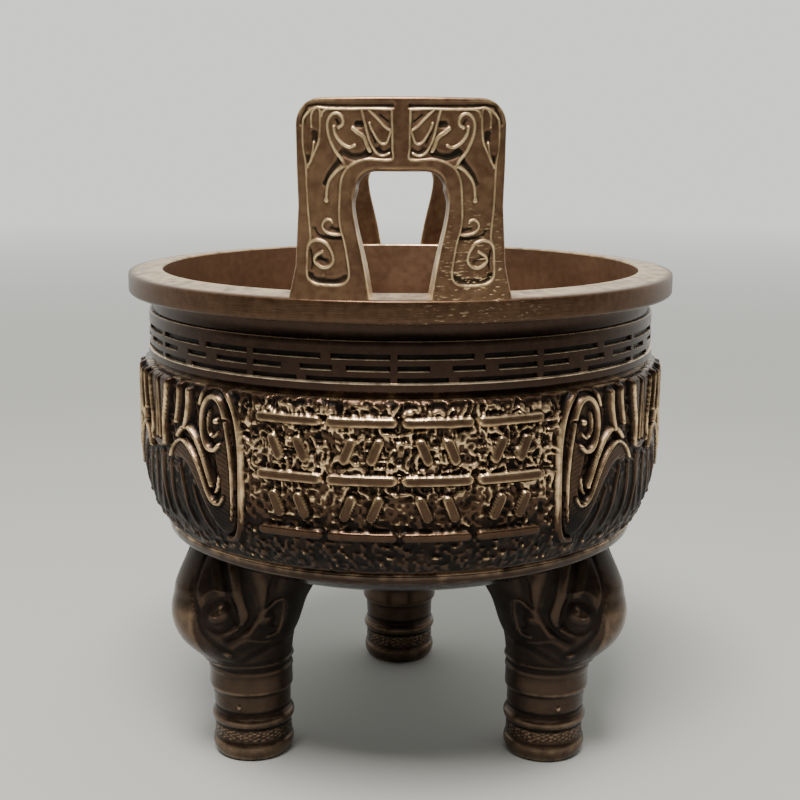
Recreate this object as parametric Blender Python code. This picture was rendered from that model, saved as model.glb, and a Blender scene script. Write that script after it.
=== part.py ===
"""Small cast bronze ding: a round bowl on three legs, with two upright ears on its rim.

Metres, +Z up. The origin is on the table, under the middle of the bowl, and the front faces -Y.
The vessel is one casting, so it is one solid. Angles around it start at the front and grow towards +X.
"""

import math

import bmesh
import bpy
from mathutils import Matrix, Vector

# Heights, stacked from the table up
LEG_HEIGHT = 0.0366
UNDERSIDE_DEPTH = 0.0070
RIDGE_HEIGHT = 0.0023
BELLY_HEIGHT = 0.0312
UNDERCUT_HEIGHT = 0.0011
LOWER_RING_HEIGHT = 0.0016
MEANDER_HEIGHT = 0.0049
UPPER_RING_HEIGHT = 0.0022
RECESS_HEIGHT = 0.0031
RIM_THICKNESS = 0.0040
RIM_FALL = 0.0005
EAR_HEIGHT = 0.0315

# The belly's radius, the steps from it to the other radii, and the walls
BELLY_RADIUS = 0.0504
NECK_STEP = 0.0011
RIM_OVERHANG = 0.0037
RIM_EDGE = 0.0006
RIDGE_STEP = 0.0037
NECK_WALL = 0.00195
WALL = 0.0034
FLOOR = 0.0040
CAVITY_CORNER = 0.0170
BELLY_TUCK = 0.0038
RIDGE_GROOVE = 0.0008

# Relief on the neck
NECK_RELIEF = 0.0005
RECESS_DEPTH = 0.0009
MEANDER_UNITS = 12
MEANDER_BAR = 0.0009
MEANDER_LINE = 0.0011
LINK_PLACE = 0.32

# Relief on the belly
BELLY_RELIEF = 0.0011
RELIEF_ROOT = 0.0006
MASK_HALF_TURN = 27.4
MASK_LIFT = 0.0047
MASK_OVERLAP = 0.0006
MASK_BAND = 0.0014
STROKE_WIDTH = 0.0014
STROKE_GROUPS = 4
STROKE_GROUP_TURN = 14.4
STROKE_GROUP_GAP = 0.0025
STROKE_MARGIN = 0.00295
STROKE_SLANT = 0.0012

# Ears
EAR_HALF_WIDTH = 0.0171
EAR_WAIST = 0.0003
EAR_FOOT_FLARE = 0.0015
EAR_CORNER = 0.0040
EAR_SETBACK = 0.00015
EAR_ROOT = 0.0012
OPENING_HALF_TOP = 0.0072
OPENING_HALF_MIDDLE = 0.0077
OPENING_HALF_FOOT = 0.0051
OPENING_CORNER = 0.0032
EAR_TOP_BAR = 0.0112
EAR_DRAFT = 0.0006
EAR_BORDER = 0.0020
OPENING_BORDER = 0.0016
EAR_MIDDLE_BAR = 0.0019
PANEL_DEPTH = 0.0006
PANEL_FLOOR_BAND = 0.0016
SCROLL_WIDTH = 0.0012

# Legs
LEG_ANGLES = (-60.0, 60.0, 180.0)
LEG_INSET = 0.0134
LEG_RELIEF = 0.0006
EYE_RADIUS = 0.0029
EYE_LEVEL = 0.69
EYE_TURN = 50.0

# A leg from its foot up: share of the height up to the belly, outward lean, half depth and half width
LEG_STATIONS = [
    (0.000, 0.00000, 0.0069, 0.0069),
    (0.020, 0.00000, 0.0077, 0.0077),
    (0.070, 0.00000, 0.0079, 0.0079),
    (0.085, 0.00000, 0.0075, 0.0075),
    (0.140, 0.00000, 0.0075, 0.0075),
    (0.155, 0.00000, 0.0080, 0.0080),
    (0.190, 0.00000, 0.0080, 0.0080),
    (0.205, 0.00005, 0.0075, 0.0075),
    (0.295, 0.00020, 0.0077, 0.0077),
    (0.310, 0.00030, 0.0080, 0.0084),
    (0.400, 0.00040, 0.0082, 0.0084),
    (0.480, 0.00180, 0.0099, 0.0092),
    (0.560, 0.00260, 0.0121, 0.0099),
    (0.670, 0.00220, 0.0137, 0.0105),
    (0.800, -0.00010, 0.0147, 0.0110),
    (1.000, -0.00380, 0.0125, 0.0114),
]

# Facets
ROUND_STEPS = 36
LEG_STEPS = 14
COLUMN = math.radians(360.0 / ROUND_STEPS)

BRONZE = (0.115, 0.062, 0.034, 1.0)

# Radii that follow from the belly's
NECK_RADIUS = BELLY_RADIUS - NECK_STEP
RIM_RADIUS = NECK_RADIUS + RIM_OVERHANG
RECESS_RADIUS = NECK_RADIUS - RECESS_DEPTH
MOUTH_RADIUS = RECESS_RADIUS - NECK_WALL
RIM_WIDTH = RIM_RADIUS - MOUTH_RADIUS
RIDGE_RADIUS = BELLY_RADIUS - RIDGE_STEP
INSIDE_RADIUS = BELLY_RADIUS - WALL
LEG_CIRCLE = RIDGE_RADIUS - LEG_INSET

# Levels that follow from the heights
RIDGE_FOOT = LEG_HEIGHT + UNDERSIDE_DEPTH
BELLY_FOOT = RIDGE_FOOT + RIDGE_HEIGHT
BELLY_TOP = BELLY_FOOT + BELLY_HEIGHT
RING_FOOT = BELLY_TOP + UNDERCUT_HEIGHT
MEANDER_FOOT = RING_FOOT + LOWER_RING_HEIGHT
MEANDER_TOP = MEANDER_FOOT + MEANDER_HEIGHT
RECESS_FOOT = MEANDER_TOP + UPPER_RING_HEIGHT
RIM_FOOT = RECESS_FOOT + RECESS_HEIGHT
RIM_OUTER_TOP = RIM_FOOT + RIM_THICKNESS
RIM_TOP = RIM_OUTER_TOP + RIM_FALL
EAR_TOP = RIM_TOP + EAR_HEIGHT

# Sizes of the belly's relief that follow from the belly's
MASK_HALF_WIDTH = math.radians(MASK_HALF_TURN) * BELLY_RADIUS
MASK_HEIGHT = BELLY_HEIGHT - MASK_LIFT + MASK_OVERLAP
STROKE_GROUP_PITCH = math.radians(STROKE_GROUP_TURN) * BELLY_RADIUS
STROKE_GROUP_WIDTH = STROKE_GROUP_PITCH - STROKE_GROUP_GAP
STROKE_GROUP_HEIGHT = MASK_HEIGHT - 2 * STROKE_MARGIN


def clear_scene():
    """Removes every object that the file starts with."""
    for thing in list(bpy.data.objects):
        bpy.data.objects.remove(thing, do_unlink=True)


def bronze_material():
    """Dark cast bronze with a brown patina."""
    material = bpy.data.materials.new("patinated_bronze")
    material.use_nodes = True
    shader = material.node_tree.nodes["Principled BSDF"]
    shader.inputs["Base Color"].default_value = BRONZE
    shader.inputs["Metallic"].default_value = 0.85
    shader.inputs["Roughness"].default_value = 0.42
    return material


def new_object(name, bm, is_form=True):
    """Turns a bmesh into an object; a form only shapes the vessel and is not a piece of its own."""
    bmesh.ops.recalc_face_normals(bm, faces=bm.faces)
    mesh = bpy.data.meshes.new(name)
    bm.to_mesh(mesh)
    bm.free()
    thing = bpy.data.objects.new(name, mesh)
    bpy.context.scene.collection.objects.link(thing)
    if is_form:
        thing.hide_render = True
        thing.display_type = "WIRE"
    return thing


def turn_about_z(angle):
    """Rotation that carries the front to an angle round the vessel."""
    return Matrix.Rotation(math.radians(angle), 3, "Z")


# The surface of the bowl

def belly_radius(z):
    """Radius of the belly's plain ground at a height: nearly upright, tucked in towards its foot."""
    middle = BELLY_FOOT + 0.72 * BELLY_HEIGHT
    shoulder = BELLY_TOP - 0.06 * BELLY_HEIGHT
    below = max(0.0, (middle - z) / (middle - BELLY_FOOT))
    above = max(0.0, (z - shoulder) / (BELLY_TOP - shoulder))
    return BELLY_RADIUS - BELLY_TUCK * below ** 5 - 0.3 * BELLY_RELIEF * above ** 2


def underside_height(r):
    """Height of the bowl's underside at a radius: a shallow dish."""
    return LEG_HEIGHT + UNDERSIDE_DEPTH * (r / ridge_foot_radius()) ** 4


def ridge_foot_radius():
    """Radius where the ridge turns into the underside."""
    return RIDGE_RADIUS - 0.4 * RIDGE_HEIGHT


def meander_lines():
    """Heights of the two raised lines of the meander, the upper one first."""
    return MEANDER_FOOT + 0.70 * MEANDER_HEIGHT, MEANDER_FOOT + 0.30 * MEANDER_HEIGHT


def outer_profile():
    """The outside of the bowl as radius and height, from the middle of its top down to its underside."""
    neck_ground = NECK_RADIUS - NECK_RELIEF
    line = 0.4 * MEANDER_HEIGHT - MEANDER_LINE
    apex = RIM_OUTER_TOP + RIM_FALL * (RIM_RADIUS - RIM_EDGE) / (RIM_WIDTH - RIM_EDGE)
    profile = [
        (0.0, apex),
        (RIM_RADIUS - RIM_EDGE, RIM_OUTER_TOP),
        (RIM_RADIUS, RIM_OUTER_TOP - RIM_EDGE),
        (RIM_RADIUS, RIM_FOOT + 1.5 * RIM_EDGE),
        (RIM_RADIUS - RIM_EDGE, RIM_FOOT + 0.5 * RIM_EDGE),
        (RECESS_RADIUS + 0.5 * RECESS_DEPTH, RIM_FOOT),
        (RECESS_RADIUS, RECESS_FOOT),
        (NECK_RADIUS, RECESS_FOOT),
        (NECK_RADIUS, MEANDER_TOP),
        (neck_ground, MEANDER_TOP - 0.4 * line),
    ]
    for middle in meander_lines():
        profile.append((NECK_RADIUS, middle + 0.5 * MEANDER_LINE))
        profile.append((NECK_RADIUS, middle - 0.5 * MEANDER_LINE))
        profile.append((neck_ground, middle - 0.5 * (MEANDER_LINE + line)))
    profile += [
        (NECK_RADIUS, MEANDER_FOOT),
        (NECK_RADIUS, RING_FOOT),
        (RECESS_RADIUS, RING_FOOT),
        (RECESS_RADIUS, BELLY_TOP),
    ]
    for share in (1.0, 0.94, 0.50, 0.24, 0.08):
        z = BELLY_FOOT + share * BELLY_HEIGHT
        profile.append((belly_radius(z), z))
    profile += [
        (RIDGE_RADIUS - RIDGE_GROOVE, BELLY_FOOT),
        (RIDGE_RADIUS, BELLY_FOOT - 0.2 * RIDGE_HEIGHT),
        (RIDGE_RADIUS - 0.05 * RIDGE_HEIGHT, BELLY_FOOT - 0.6 * RIDGE_HEIGHT),
    ]
    for share in (1.0, 0.94, 0.8, 0.5):
        r = share * ridge_foot_radius()
        profile.append((r, underside_height(r)))
    profile.append((0.0, LEG_HEIGHT))
    return profile


def cavity_profile():
    """The inside of the bowl, from above the rim down to the middle of the floor."""
    floor = LEG_HEIGHT + FLOOR
    profile = [
        (0.0, RIM_TOP + RIM_WIDTH),
        (RIM_RADIUS, RIM_TOP + RIM_WIDTH - 0.4 * RIM_EDGE),
        (MOUTH_RADIUS, RIM_TOP - 0.4 * RIM_EDGE),
        (MOUTH_RADIUS, RECESS_FOOT),
        (INSIDE_RADIUS, BELLY_TOP - 0.1 * BELLY_HEIGHT),
    ]
    corner_steps = 5
    for k in range(corner_steps):
        turn = math.pi / 2 * k / corner_steps
        drop = CAVITY_CORNER * (1.0 - math.sin(turn) ** (2 / 3))
        profile.append((INSIDE_RADIUS * math.cos(turn) ** (2 / 3), floor + drop))
    profile.append((0.0, floor))
    return profile


def turned(profile):
    """A solid of revolution from a profile that starts and ends on the axis.

    A facet faces front, and the middle of each facet stands on the true radius.
    """
    bm = bmesh.new()
    verts = [bm.verts.new((r, r * math.tan(0.5 * COLUMN), z)) for r, z in profile]
    edges = [bm.edges.new(pair) for pair in zip(verts, verts[1:])]
    bmesh.ops.spin(bm, geom=verts + edges, axis=(0, 0, 1), cent=(0, 0, 0),
                   angle=2 * math.pi, steps=ROUND_STEPS, use_merge=True)
    bmesh.ops.remove_doubles(bm, verts=bm.verts, dist=1e-6)
    return bm


# Flat shapes that are wrapped round the vessel: X is the way round, Y is how proud, Z is up

def ribbon(bm, path, half_width, root, proud):
    """A raised band along a path on the flat sheet, tapered like a cast rib."""
    rings = []
    for i, point in enumerate(path):
        ahead = path[min(i + 1, len(path) - 1)] - path[max(i - 1, 0)]
        side = Vector((-ahead.y, ahead.x)).normalized()
        low, high = side * half_width * 1.15, side * half_width * 0.8
        corners = [(point - low, -root), (point + low, -root), (point + high, proud), (point - high, proud)]
        rings.append([bm.verts.new((p.x, depth, p.y)) for p, depth in corners])
    for first, second in zip(rings, rings[1:]):
        for k in range(4):
            bm.faces.new((first[k], first[(k + 1) % 4], second[(k + 1) % 4], second[k]))
    bm.faces.new(rings[0])
    bm.faces.new(rings[-1][::-1])


def boss(bm, centre, half_across, half_up, root, proud, sides=8):
    """A raised oval on the flat sheet, narrower at its top."""
    foot, crown = [], []
    for i in range(sides):
        turn = 2 * math.pi * (i + 0.5) / sides
        out = Vector((half_across * math.cos(turn), half_up * math.sin(turn)))
        foot.append(bm.verts.new((centre.x + out.x, -root, centre.y + out.y)))
        crown.append(bm.verts.new((centre.x + 0.7 * out.x, proud, centre.y + 0.7 * out.y)))
    for i in range(sides):
        j = (i + 1) % sides
        bm.faces.new((foot[i], foot[j], crown[j], crown[i]))
    bm.faces.new(foot[::-1])
    bm.faces.new(crown)


def plate(bm, outline, root, proud):
    """A flat plate with a given outline on the sheet."""
    foot = [bm.verts.new((p.x, -root, p.y)) for p in outline]
    crown = [bm.verts.new((p.x, proud, p.y)) for p in outline]
    count = len(outline)
    for i in range(count):
        j = (i + 1) % count
        bm.faces.new((foot[i], foot[j], crown[j], crown[i]))
    bm.faces.new(foot[::-1])
    bm.faces.new(crown)


def cut_columns(bm, pitch, shift):
    """Cuts a flat sheet into upright columns, so that it can bend round the vessel."""
    reach = max(abs(v.co.x) for v in bm.verts)
    count = int(reach / pitch) + 1
    for k in range(-count, count + 1):
        bmesh.ops.bisect_plane(bm, geom=bm.verts[:] + bm.edges[:] + bm.faces[:], dist=1e-7,
                               plane_co=((k + shift) * pitch, 0, 0), plane_no=(1, 0, 0))


def wrap(bm, centre_degrees, sheet_radius, radius_at):
    """Bends a flat sheet round the vessel, with its middle at an angle from the front."""
    bmesh.ops.triangulate(bm, faces=bm.faces)
    for vert in bm.verts:
        turn = math.radians(centre_degrees) + vert.co.x / sheet_radius
        r = radius_at(vert.co.z) + vert.co.y
        vert.co = Vector((r * math.sin(turn), -r * math.cos(turn), vert.co.z))


def add_to(target, bm):
    """Moves a finished bmesh into another one."""
    mesh = bpy.data.meshes.new("shape")
    bm.to_mesh(mesh)
    bm.free()
    target.from_mesh(mesh)
    bpy.data.meshes.remove(mesh)


# Relief of the neck: upright bars and links between the two meander lines and the rings

def meander(target):
    """A full bar and two short links in each unit round the neck."""
    upper, lower = meander_lines()
    inset = 0.3 * MEANDER_LINE
    spans = [
        (0.0, MEANDER_FOOT - inset, MEANDER_TOP + inset, MEANDER_BAR),
        (LINK_PLACE, lower + inset, upper - inset, 2 * MEANDER_BAR),
        (1.0 - LINK_PLACE, lower + inset, upper - inset, 2 * MEANDER_BAR),
    ]
    front = NECK_RADIUS - 0.25 * NECK_RELIEF
    for k in range(MEANDER_UNITS):
        for place, low, high, width in spans:
            bm = bmesh.new()
            bmesh.ops.create_cube(bm, size=1.0)
            depth = NECK_RELIEF + RELIEF_ROOT
            bmesh.ops.scale(bm, verts=bm.verts, vec=(width, depth, high - low))
            bmesh.ops.translate(bm, verts=bm.verts, vec=(0, 0.5 * depth - front, 0.5 * (low + high)))
            turn = turn_about_z(360.0 * (k + place) / MEANDER_UNITS)
            bmesh.ops.rotate(bm, verts=bm.verts, cent=(0, 0, 0), matrix=turn)
            add_to(target, bm)


# Relief of the belly: a mask over each leg, and rows of strokes on the front

def mask_point(across, up):
    """A place on a mask, as shares of its half width and its height."""
    return Vector((across * MASK_HALF_WIDTH, BELLY_FOOT + MASK_LIFT + up * MASK_HEIGHT))


def mask_sheet():
    """One whole mask on the flat sheet: a nose bar, and an eye with its bands on each side."""
    bm = bmesh.new()
    ribbon(bm, [mask_point(0, 0.42), mask_point(0, 0.97)], 0.6 * MASK_BAND, RELIEF_ROOT, BELLY_RELIEF)
    bands = [
        ([(0.54, 0.83), (0.63, 0.96), (0.77, 0.98), (0.91, 0.78), (0.97, 0.45), (0.90, 0.02)], 0.5),
        ([(0.86, 0.60), (0.87, 0.30), (0.80, 0.12), (0.68, 0.17), (0.34, 0.52), (0.20, 0.50), (0.13, 0.34),
          (0.22, 0.15)], 0.6),
        ([(0.24, 0.64), (0.37, 0.69), (0.50, 0.64), (0.68, 0.36)], 0.4),
        ([(0.42, 0.94), (0.41, 0.79)], 0.5),
        ([(0.22, 0.97), (0.22, 0.76)], 0.8),
    ]
    for side in (-1, 1):
        for points, share in bands:
            path = [mask_point(side * u, v) for u, v in points]
            ribbon(bm, path, share * MASK_BAND, RELIEF_ROOT, BELLY_RELIEF)
        eye = mask_point(side * 0.70, 0.73)
        boss(bm, eye, 0.10 * MASK_HALF_WIDTH, 0.17 * MASK_HEIGHT, RELIEF_ROOT, BELLY_RELIEF)
    return bm


def stroke_rows(bm):
    """Groups of rows of plain strokes: long level bars with rows of short slanted ones between."""
    middle = BELLY_FOOT + MASK_LIFT + 0.5 * MASK_HEIGHT - 0.02 * BELLY_HEIGHT
    rows = 5
    for group in range(STROKE_GROUPS):
        centre = (group - 0.5 * (STROKE_GROUPS - 1)) * STROKE_GROUP_PITCH
        lean = STROKE_SLANT if group % 2 else -STROKE_SLANT
        for row in range(rows):
            z = middle + (row / (rows - 1) - 0.5) * (STROKE_GROUP_HEIGHT - STROKE_WIDTH)
            reach = 0.5 * STROKE_GROUP_WIDTH
            if row % 2 == 0:
                path = [Vector((centre - reach, z)), Vector((centre + reach, z))]
                ribbon(bm, path, 0.5 * STROKE_WIDTH, RELIEF_ROOT, BELLY_RELIEF)
                continue
            tall = 0.5 * (STROKE_GROUP_HEIGHT / (rows - 1) - 1.7 * STROKE_WIDTH)
            for share in (-0.45, 0.45):
                foot = Vector((centre + share * reach - 0.5 * lean, z - tall))
                head = Vector((centre + share * reach + 0.5 * lean, z + tall))
                ribbon(bm, [foot, head], 0.5 * STROKE_WIDTH, RELIEF_ROOT, BELLY_RELIEF)


def belly_relief(target):
    """Masks over the legs and strokes on the front panel, bent onto the belly."""
    for angle in LEG_ANGLES:
        bm = mask_sheet()
        wrap(bm, angle, BELLY_RADIUS, belly_radius)
        add_to(target, bm)
    bm = bmesh.new()
    stroke_rows(bm)
    wrap(bm, 0.0, BELLY_RADIUS, belly_radius)
    add_to(target, bm)


# Ears

def corner_arc(centre, radius, start_degrees, end_degrees, steps):
    """Points on a round corner."""
    arc = []
    for k in range(steps + 1):
        turn = math.radians(start_degrees + (end_degrees - start_degrees) * k / steps)
        arc.append(centre + radius * Vector((math.cos(turn), math.sin(turn))))
    return arc


def ear_outline():
    """Outside of an ear from its left foot over the top to its right foot."""
    left = [
        Vector((-EAR_HALF_WIDTH - EAR_FOOT_FLARE, RIM_OUTER_TOP - EAR_ROOT)),
        Vector((-EAR_HALF_WIDTH - EAR_FOOT_FLARE, RIM_TOP)),
        Vector((-EAR_HALF_WIDTH - 0.3 * EAR_FOOT_FLARE, RIM_TOP + 2.5 * EAR_FOOT_FLARE)),
        Vector((-EAR_HALF_WIDTH + EAR_WAIST, RIM_TOP + 0.45 * EAR_HEIGHT)),
    ]
    centre = Vector((-EAR_HALF_WIDTH + EAR_CORNER, EAR_TOP - EAR_CORNER))
    left += corner_arc(centre, EAR_CORNER, 180, 90, 3)
    return left + [Vector((-p.x, p.y)) for p in reversed(left)]


def opening_outline(spread):
    """Inside edge of an ear's opening, from its left foot over the top to its right foot."""
    top = EAR_TOP - EAR_TOP_BAR + spread
    half_top, half_foot = OPENING_HALF_TOP + spread, OPENING_HALF_FOOT + spread
    centre = Vector((-half_top + OPENING_CORNER, top - OPENING_CORNER))
    middle = RIM_TOP + 0.6 * (EAR_HEIGHT - EAR_TOP_BAR)
    left = [
        Vector((-half_foot, RIM_OUTER_TOP - 2 * EAR_ROOT)),
        Vector((-half_foot, RIM_TOP)),
        Vector((-OPENING_HALF_MIDDLE - spread, middle)),
    ]
    left += corner_arc(centre, OPENING_CORNER, 180, 90, 3)
    return left + [Vector((-p.x, p.y)) for p in reversed(left)]


def ear_slab():
    """An ear as a curved slab, flush with both edges of the rim, without its opening."""
    bm = bmesh.new()
    plate(bm, ear_outline(), RIM_WIDTH - EAR_SETBACK - RIM_EDGE, 0.0)
    cut_columns(bm, COLUMN * RIM_RADIUS, 0.5)
    return bm


def opening_cutter():
    """A plug for an ear's opening, slightly narrower towards the bowl."""
    bm = bmesh.new()
    count = len(opening_outline(0.0))
    reach = 2 * RIM_EDGE
    back = [bm.verts.new((p.x, -RIM_WIDTH - reach, p.y)) for p in opening_outline(-EAR_DRAFT)]
    front = [bm.verts.new((p.x, reach, p.y)) for p in opening_outline(0.0)]
    for i in range(count):
        j = (i + 1) % count
        bm.faces.new((back[i], back[j], front[j], front[i]))
    bm.faces.new(back[::-1])
    bm.faces.new(front)
    return bm


def panel_foot():
    """Height of the recessed fields' lower edge."""
    return RIM_TOP + 1.6 * PANEL_FLOOR_BAND


def panel_outline():
    """Recessed field on the right half of an ear's face, round the opening's border."""
    inner = 0.5 * EAR_MIDDLE_BAR
    outer = EAR_HALF_WIDTH - EAR_BORDER
    top = EAR_TOP - EAR_BORDER
    foot = panel_foot()
    opening = opening_outline(OPENING_BORDER)
    border = [p for p in opening if p.x > inner and p.y > foot]
    slope = (border[-1].x - OPENING_HALF_FOOT - OPENING_BORDER) / (border[-1].y - RIM_TOP)
    low_inner = Vector((OPENING_HALF_FOOT + OPENING_BORDER + slope * (foot - RIM_TOP), foot))
    round_corner = corner_arc(Vector((outer - EAR_CORNER / 2, top - EAR_CORNER / 2)), EAR_CORNER / 2, 90, 0, 2)
    return [Vector((inner, border[0].y)), Vector((inner, top))] + round_corner + [
        Vector((outer, foot + PANEL_FLOOR_BAND)),
        Vector((outer - PANEL_FLOOR_BAND, foot)),
        low_inner,
    ] + border[::-1]


def ear_scrolls():
    """Raised hooks and scrolls in the recessed fields, as shares of the field's size."""
    bm = bmesh.new()
    left = 0.5 * EAR_MIDDLE_BAR
    width = EAR_HALF_WIDTH - EAR_BORDER - left
    foot = panel_foot()
    height = EAR_TOP - EAR_BORDER - foot
    scrolls = [
        [(0.58, 0.88), (0.68, 0.95), (0.75, 0.86), (0.68, 0.74), (0.46, 0.78)],
        [(0.12, 0.94), (0.26, 0.80)],
        [(0.90, 0.94), (0.90, 0.52)],
        [(0.70, 0.43), (0.84, 0.38), (0.72, 0.31)],
        [(0.86, 0.20), (0.71, 0.20), (0.72, 0.08)],
    ]
    for side in (-1, 1):
        for points in scrolls:
            path = [Vector((side * (left + u * width), foot + v * height)) for u, v in points]
            ribbon(bm, path, 0.5 * SCROLL_WIDTH, RELIEF_ROOT, 0.8 * PANEL_DEPTH)
    return bm


def both_ears(make_sheet, radius):
    """Makes a sheet for the front ear and one for the back ear, bent round the rim like its facets."""
    target = bmesh.new()
    for angle in (0.0, 180.0):
        bm = make_sheet()
        wrap(bm, angle, RIM_RADIUS, lambda z: radius / math.cos(0.5 * COLUMN))
        add_to(target, bm)
    return target


def opening_cutters(radius):
    """The plugs for both openings, straight through the ears."""
    target = bmesh.new()
    for angle in (0.0, 180.0):
        bm = opening_cutter()
        for vert in bm.verts:
            vert.co.y = -radius - vert.co.y
        bmesh.ops.rotate(bm, verts=bm.verts, cent=(0, 0, 0), matrix=turn_about_z(angle))
        add_to(target, bm)
    return target


def panel_cutters():
    """The recessed fields of one ear."""
    bm = bmesh.new()
    outline = panel_outline()
    plate(bm, outline, PANEL_DEPTH, RIM_EDGE)
    plate(bm, [Vector((-p.x, p.y)) for p in reversed(outline)], PANEL_DEPTH, RIM_EDGE)
    cut_columns(bm, COLUMN * RIM_RADIUS, 0.5)
    return bm


# Legs

def leg_section(share):
    """Outward lean, half depth and half width of a leg at a share of the height up to the belly."""
    for low, high in zip(LEG_STATIONS, LEG_STATIONS[1:]):
        if share <= high[0]:
            t = (share - low[0]) / (high[0] - low[0])
            return [a + t * (b - a) for a, b in zip(low[1:], high[1:])]
    return LEG_STATIONS[-1][1:]


def one_leg(angle):
    """A leg: a ringed shank under a beast's head that leans out from under the bowl."""
    bm = bmesh.new()
    rings = []
    for share, lean, deep, wide in LEG_STATIONS:
        ring = []
        for k in range(LEG_STEPS):
            turn = 2 * math.pi * (k + 0.5) / LEG_STEPS
            out = LEG_CIRCLE + lean + deep * math.cos(turn)
            ring.append(bm.verts.new((wide * math.sin(turn), -out, share * BELLY_FOOT)))
        rings.append(ring)
    for low, high in zip(rings, rings[1:]):
        for k in range(LEG_STEPS):
            j = (k + 1) % LEG_STEPS
            bm.faces.new((low[k], low[j], high[j], high[k]))
    bm.faces.new(rings[0][::-1])
    bm.faces.new(rings[-1])
    bmesh.ops.rotate(bm, verts=bm.verts, cent=(0, 0, 0), matrix=turn_about_z(angle))
    bmesh.ops.triangulate(bm, faces=[f for f in bm.faces if len(f.verts) == 4])
    return bm


def leg_eyes(angle):
    """The two round eyes of a leg's head, each a low boss that faces squarely off the leg."""
    lean, deep, wide = leg_section(EYE_LEVEL)
    both = bmesh.new()
    for side in (-1, 1):
        bm = bmesh.new()
        boss(bm, Vector((0, 0)), EYE_RADIUS, EYE_RADIUS, RELIEF_ROOT, LEG_RELIEF)
        turn = math.radians(side * EYE_TURN)
        facing = math.degrees(math.atan2(math.sin(turn) / wide, math.cos(turn) / deep))
        bmesh.ops.rotate(bm, verts=bm.verts, cent=(0, 0, 0), matrix=Matrix.Rotation(math.pi, 3, "Z"))
        bmesh.ops.rotate(bm, verts=bm.verts, cent=(0, 0, 0), matrix=turn_about_z(facing))
        place = (wide * math.sin(turn), -LEG_CIRCLE - lean - deep * math.cos(turn), EYE_LEVEL * BELLY_FOOT)
        bmesh.ops.translate(bm, verts=bm.verts, vec=place)
        add_to(both, bm)
    bmesh.ops.rotate(both, verts=both.verts, cent=(0, 0, 0), matrix=turn_about_z(angle))
    return both


def three_times(make_form):
    """Makes a form once for each leg."""
    target = bmesh.new()
    for angle in LEG_ANGLES:
        add_to(target, make_form(angle))
    return target


def combine(vessel, form, operation):
    """Joins a form to the vessel or cuts it out."""
    step = vessel.modifiers.new(form.name, "BOOLEAN")
    step.operation = operation
    step.solver = "EXACT"
    step.object = form


def build():
    """The whole casting."""
    clear_scene()
    vessel = new_object("ding_vessel", turned(outer_profile()), is_form=False)
    vessel.data.materials.append(bronze_material())
    relief = three_times(leg_eyes)
    meander(relief)
    belly_relief(relief)
    outline = RIM_RADIUS - EAR_SETBACK
    combine(vessel, new_object("leg_form", three_times(one_leg)), "UNION")
    combine(vessel, new_object("cavity_form", turned(cavity_profile())), "DIFFERENCE")
    ears = new_object("ear_form", both_ears(ear_slab, outline))
    combine(ears, new_object("panel_form", both_ears(panel_cutters, outline)), "DIFFERENCE")
    combine(ears, new_object("scroll_form", both_ears(ear_scrolls, outline - PANEL_DEPTH)), "UNION")
    combine(ears, new_object("opening_form", opening_cutters(outline)), "DIFFERENCE")
    combine(vessel, ears, "UNION")
    combine(vessel, new_object("relief_form", relief), "UNION")


build()
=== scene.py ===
"""Looks of a small cast bronze ding: a turned bowl with carved bands, two ears and three legs.

Metres, in the frame's own axes: +Z up, and the front faces -Y. Angles round the vessel start at the
front and grow towards +X. Every surface is a closed mesh whose relief is pressed in from named strokes.
"""

import logging
import math
from dataclasses import dataclass, replace
from enum import Enum
from typing import Callable, Sequence

import bmesh
import bpy
import numpy as np
from mathutils import Matrix, Vector


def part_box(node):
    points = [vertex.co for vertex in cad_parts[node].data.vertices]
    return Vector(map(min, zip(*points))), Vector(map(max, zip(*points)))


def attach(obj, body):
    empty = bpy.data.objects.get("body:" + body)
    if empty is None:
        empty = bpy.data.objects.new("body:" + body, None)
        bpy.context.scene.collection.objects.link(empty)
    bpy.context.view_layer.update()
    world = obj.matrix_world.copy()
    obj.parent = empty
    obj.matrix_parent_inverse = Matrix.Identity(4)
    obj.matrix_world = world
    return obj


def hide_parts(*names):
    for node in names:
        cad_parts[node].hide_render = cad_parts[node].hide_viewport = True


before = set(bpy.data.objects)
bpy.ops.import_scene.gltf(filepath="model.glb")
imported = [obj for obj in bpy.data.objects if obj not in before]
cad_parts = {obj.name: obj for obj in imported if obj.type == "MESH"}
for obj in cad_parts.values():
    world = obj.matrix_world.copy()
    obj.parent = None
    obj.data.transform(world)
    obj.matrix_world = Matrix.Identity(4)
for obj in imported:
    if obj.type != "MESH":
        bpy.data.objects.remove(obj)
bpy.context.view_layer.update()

NODE = "ding_vessel"
BODY = "root"
LOG = logging.getLogger("ding")

Array = np.ndarray
Pair = tuple[float, float]
Place = tuple[float, float, float]
Colour = tuple[float, float, float]

MILLIMETRE = 0.001
NOISE_TABLE = 512
HATCH_PITCH = 0.00085
SMOOTHING_ROUNDS = 6
SCRATCHED_PLACE: Place = (0.013, -0.053, 0.097)


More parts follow.
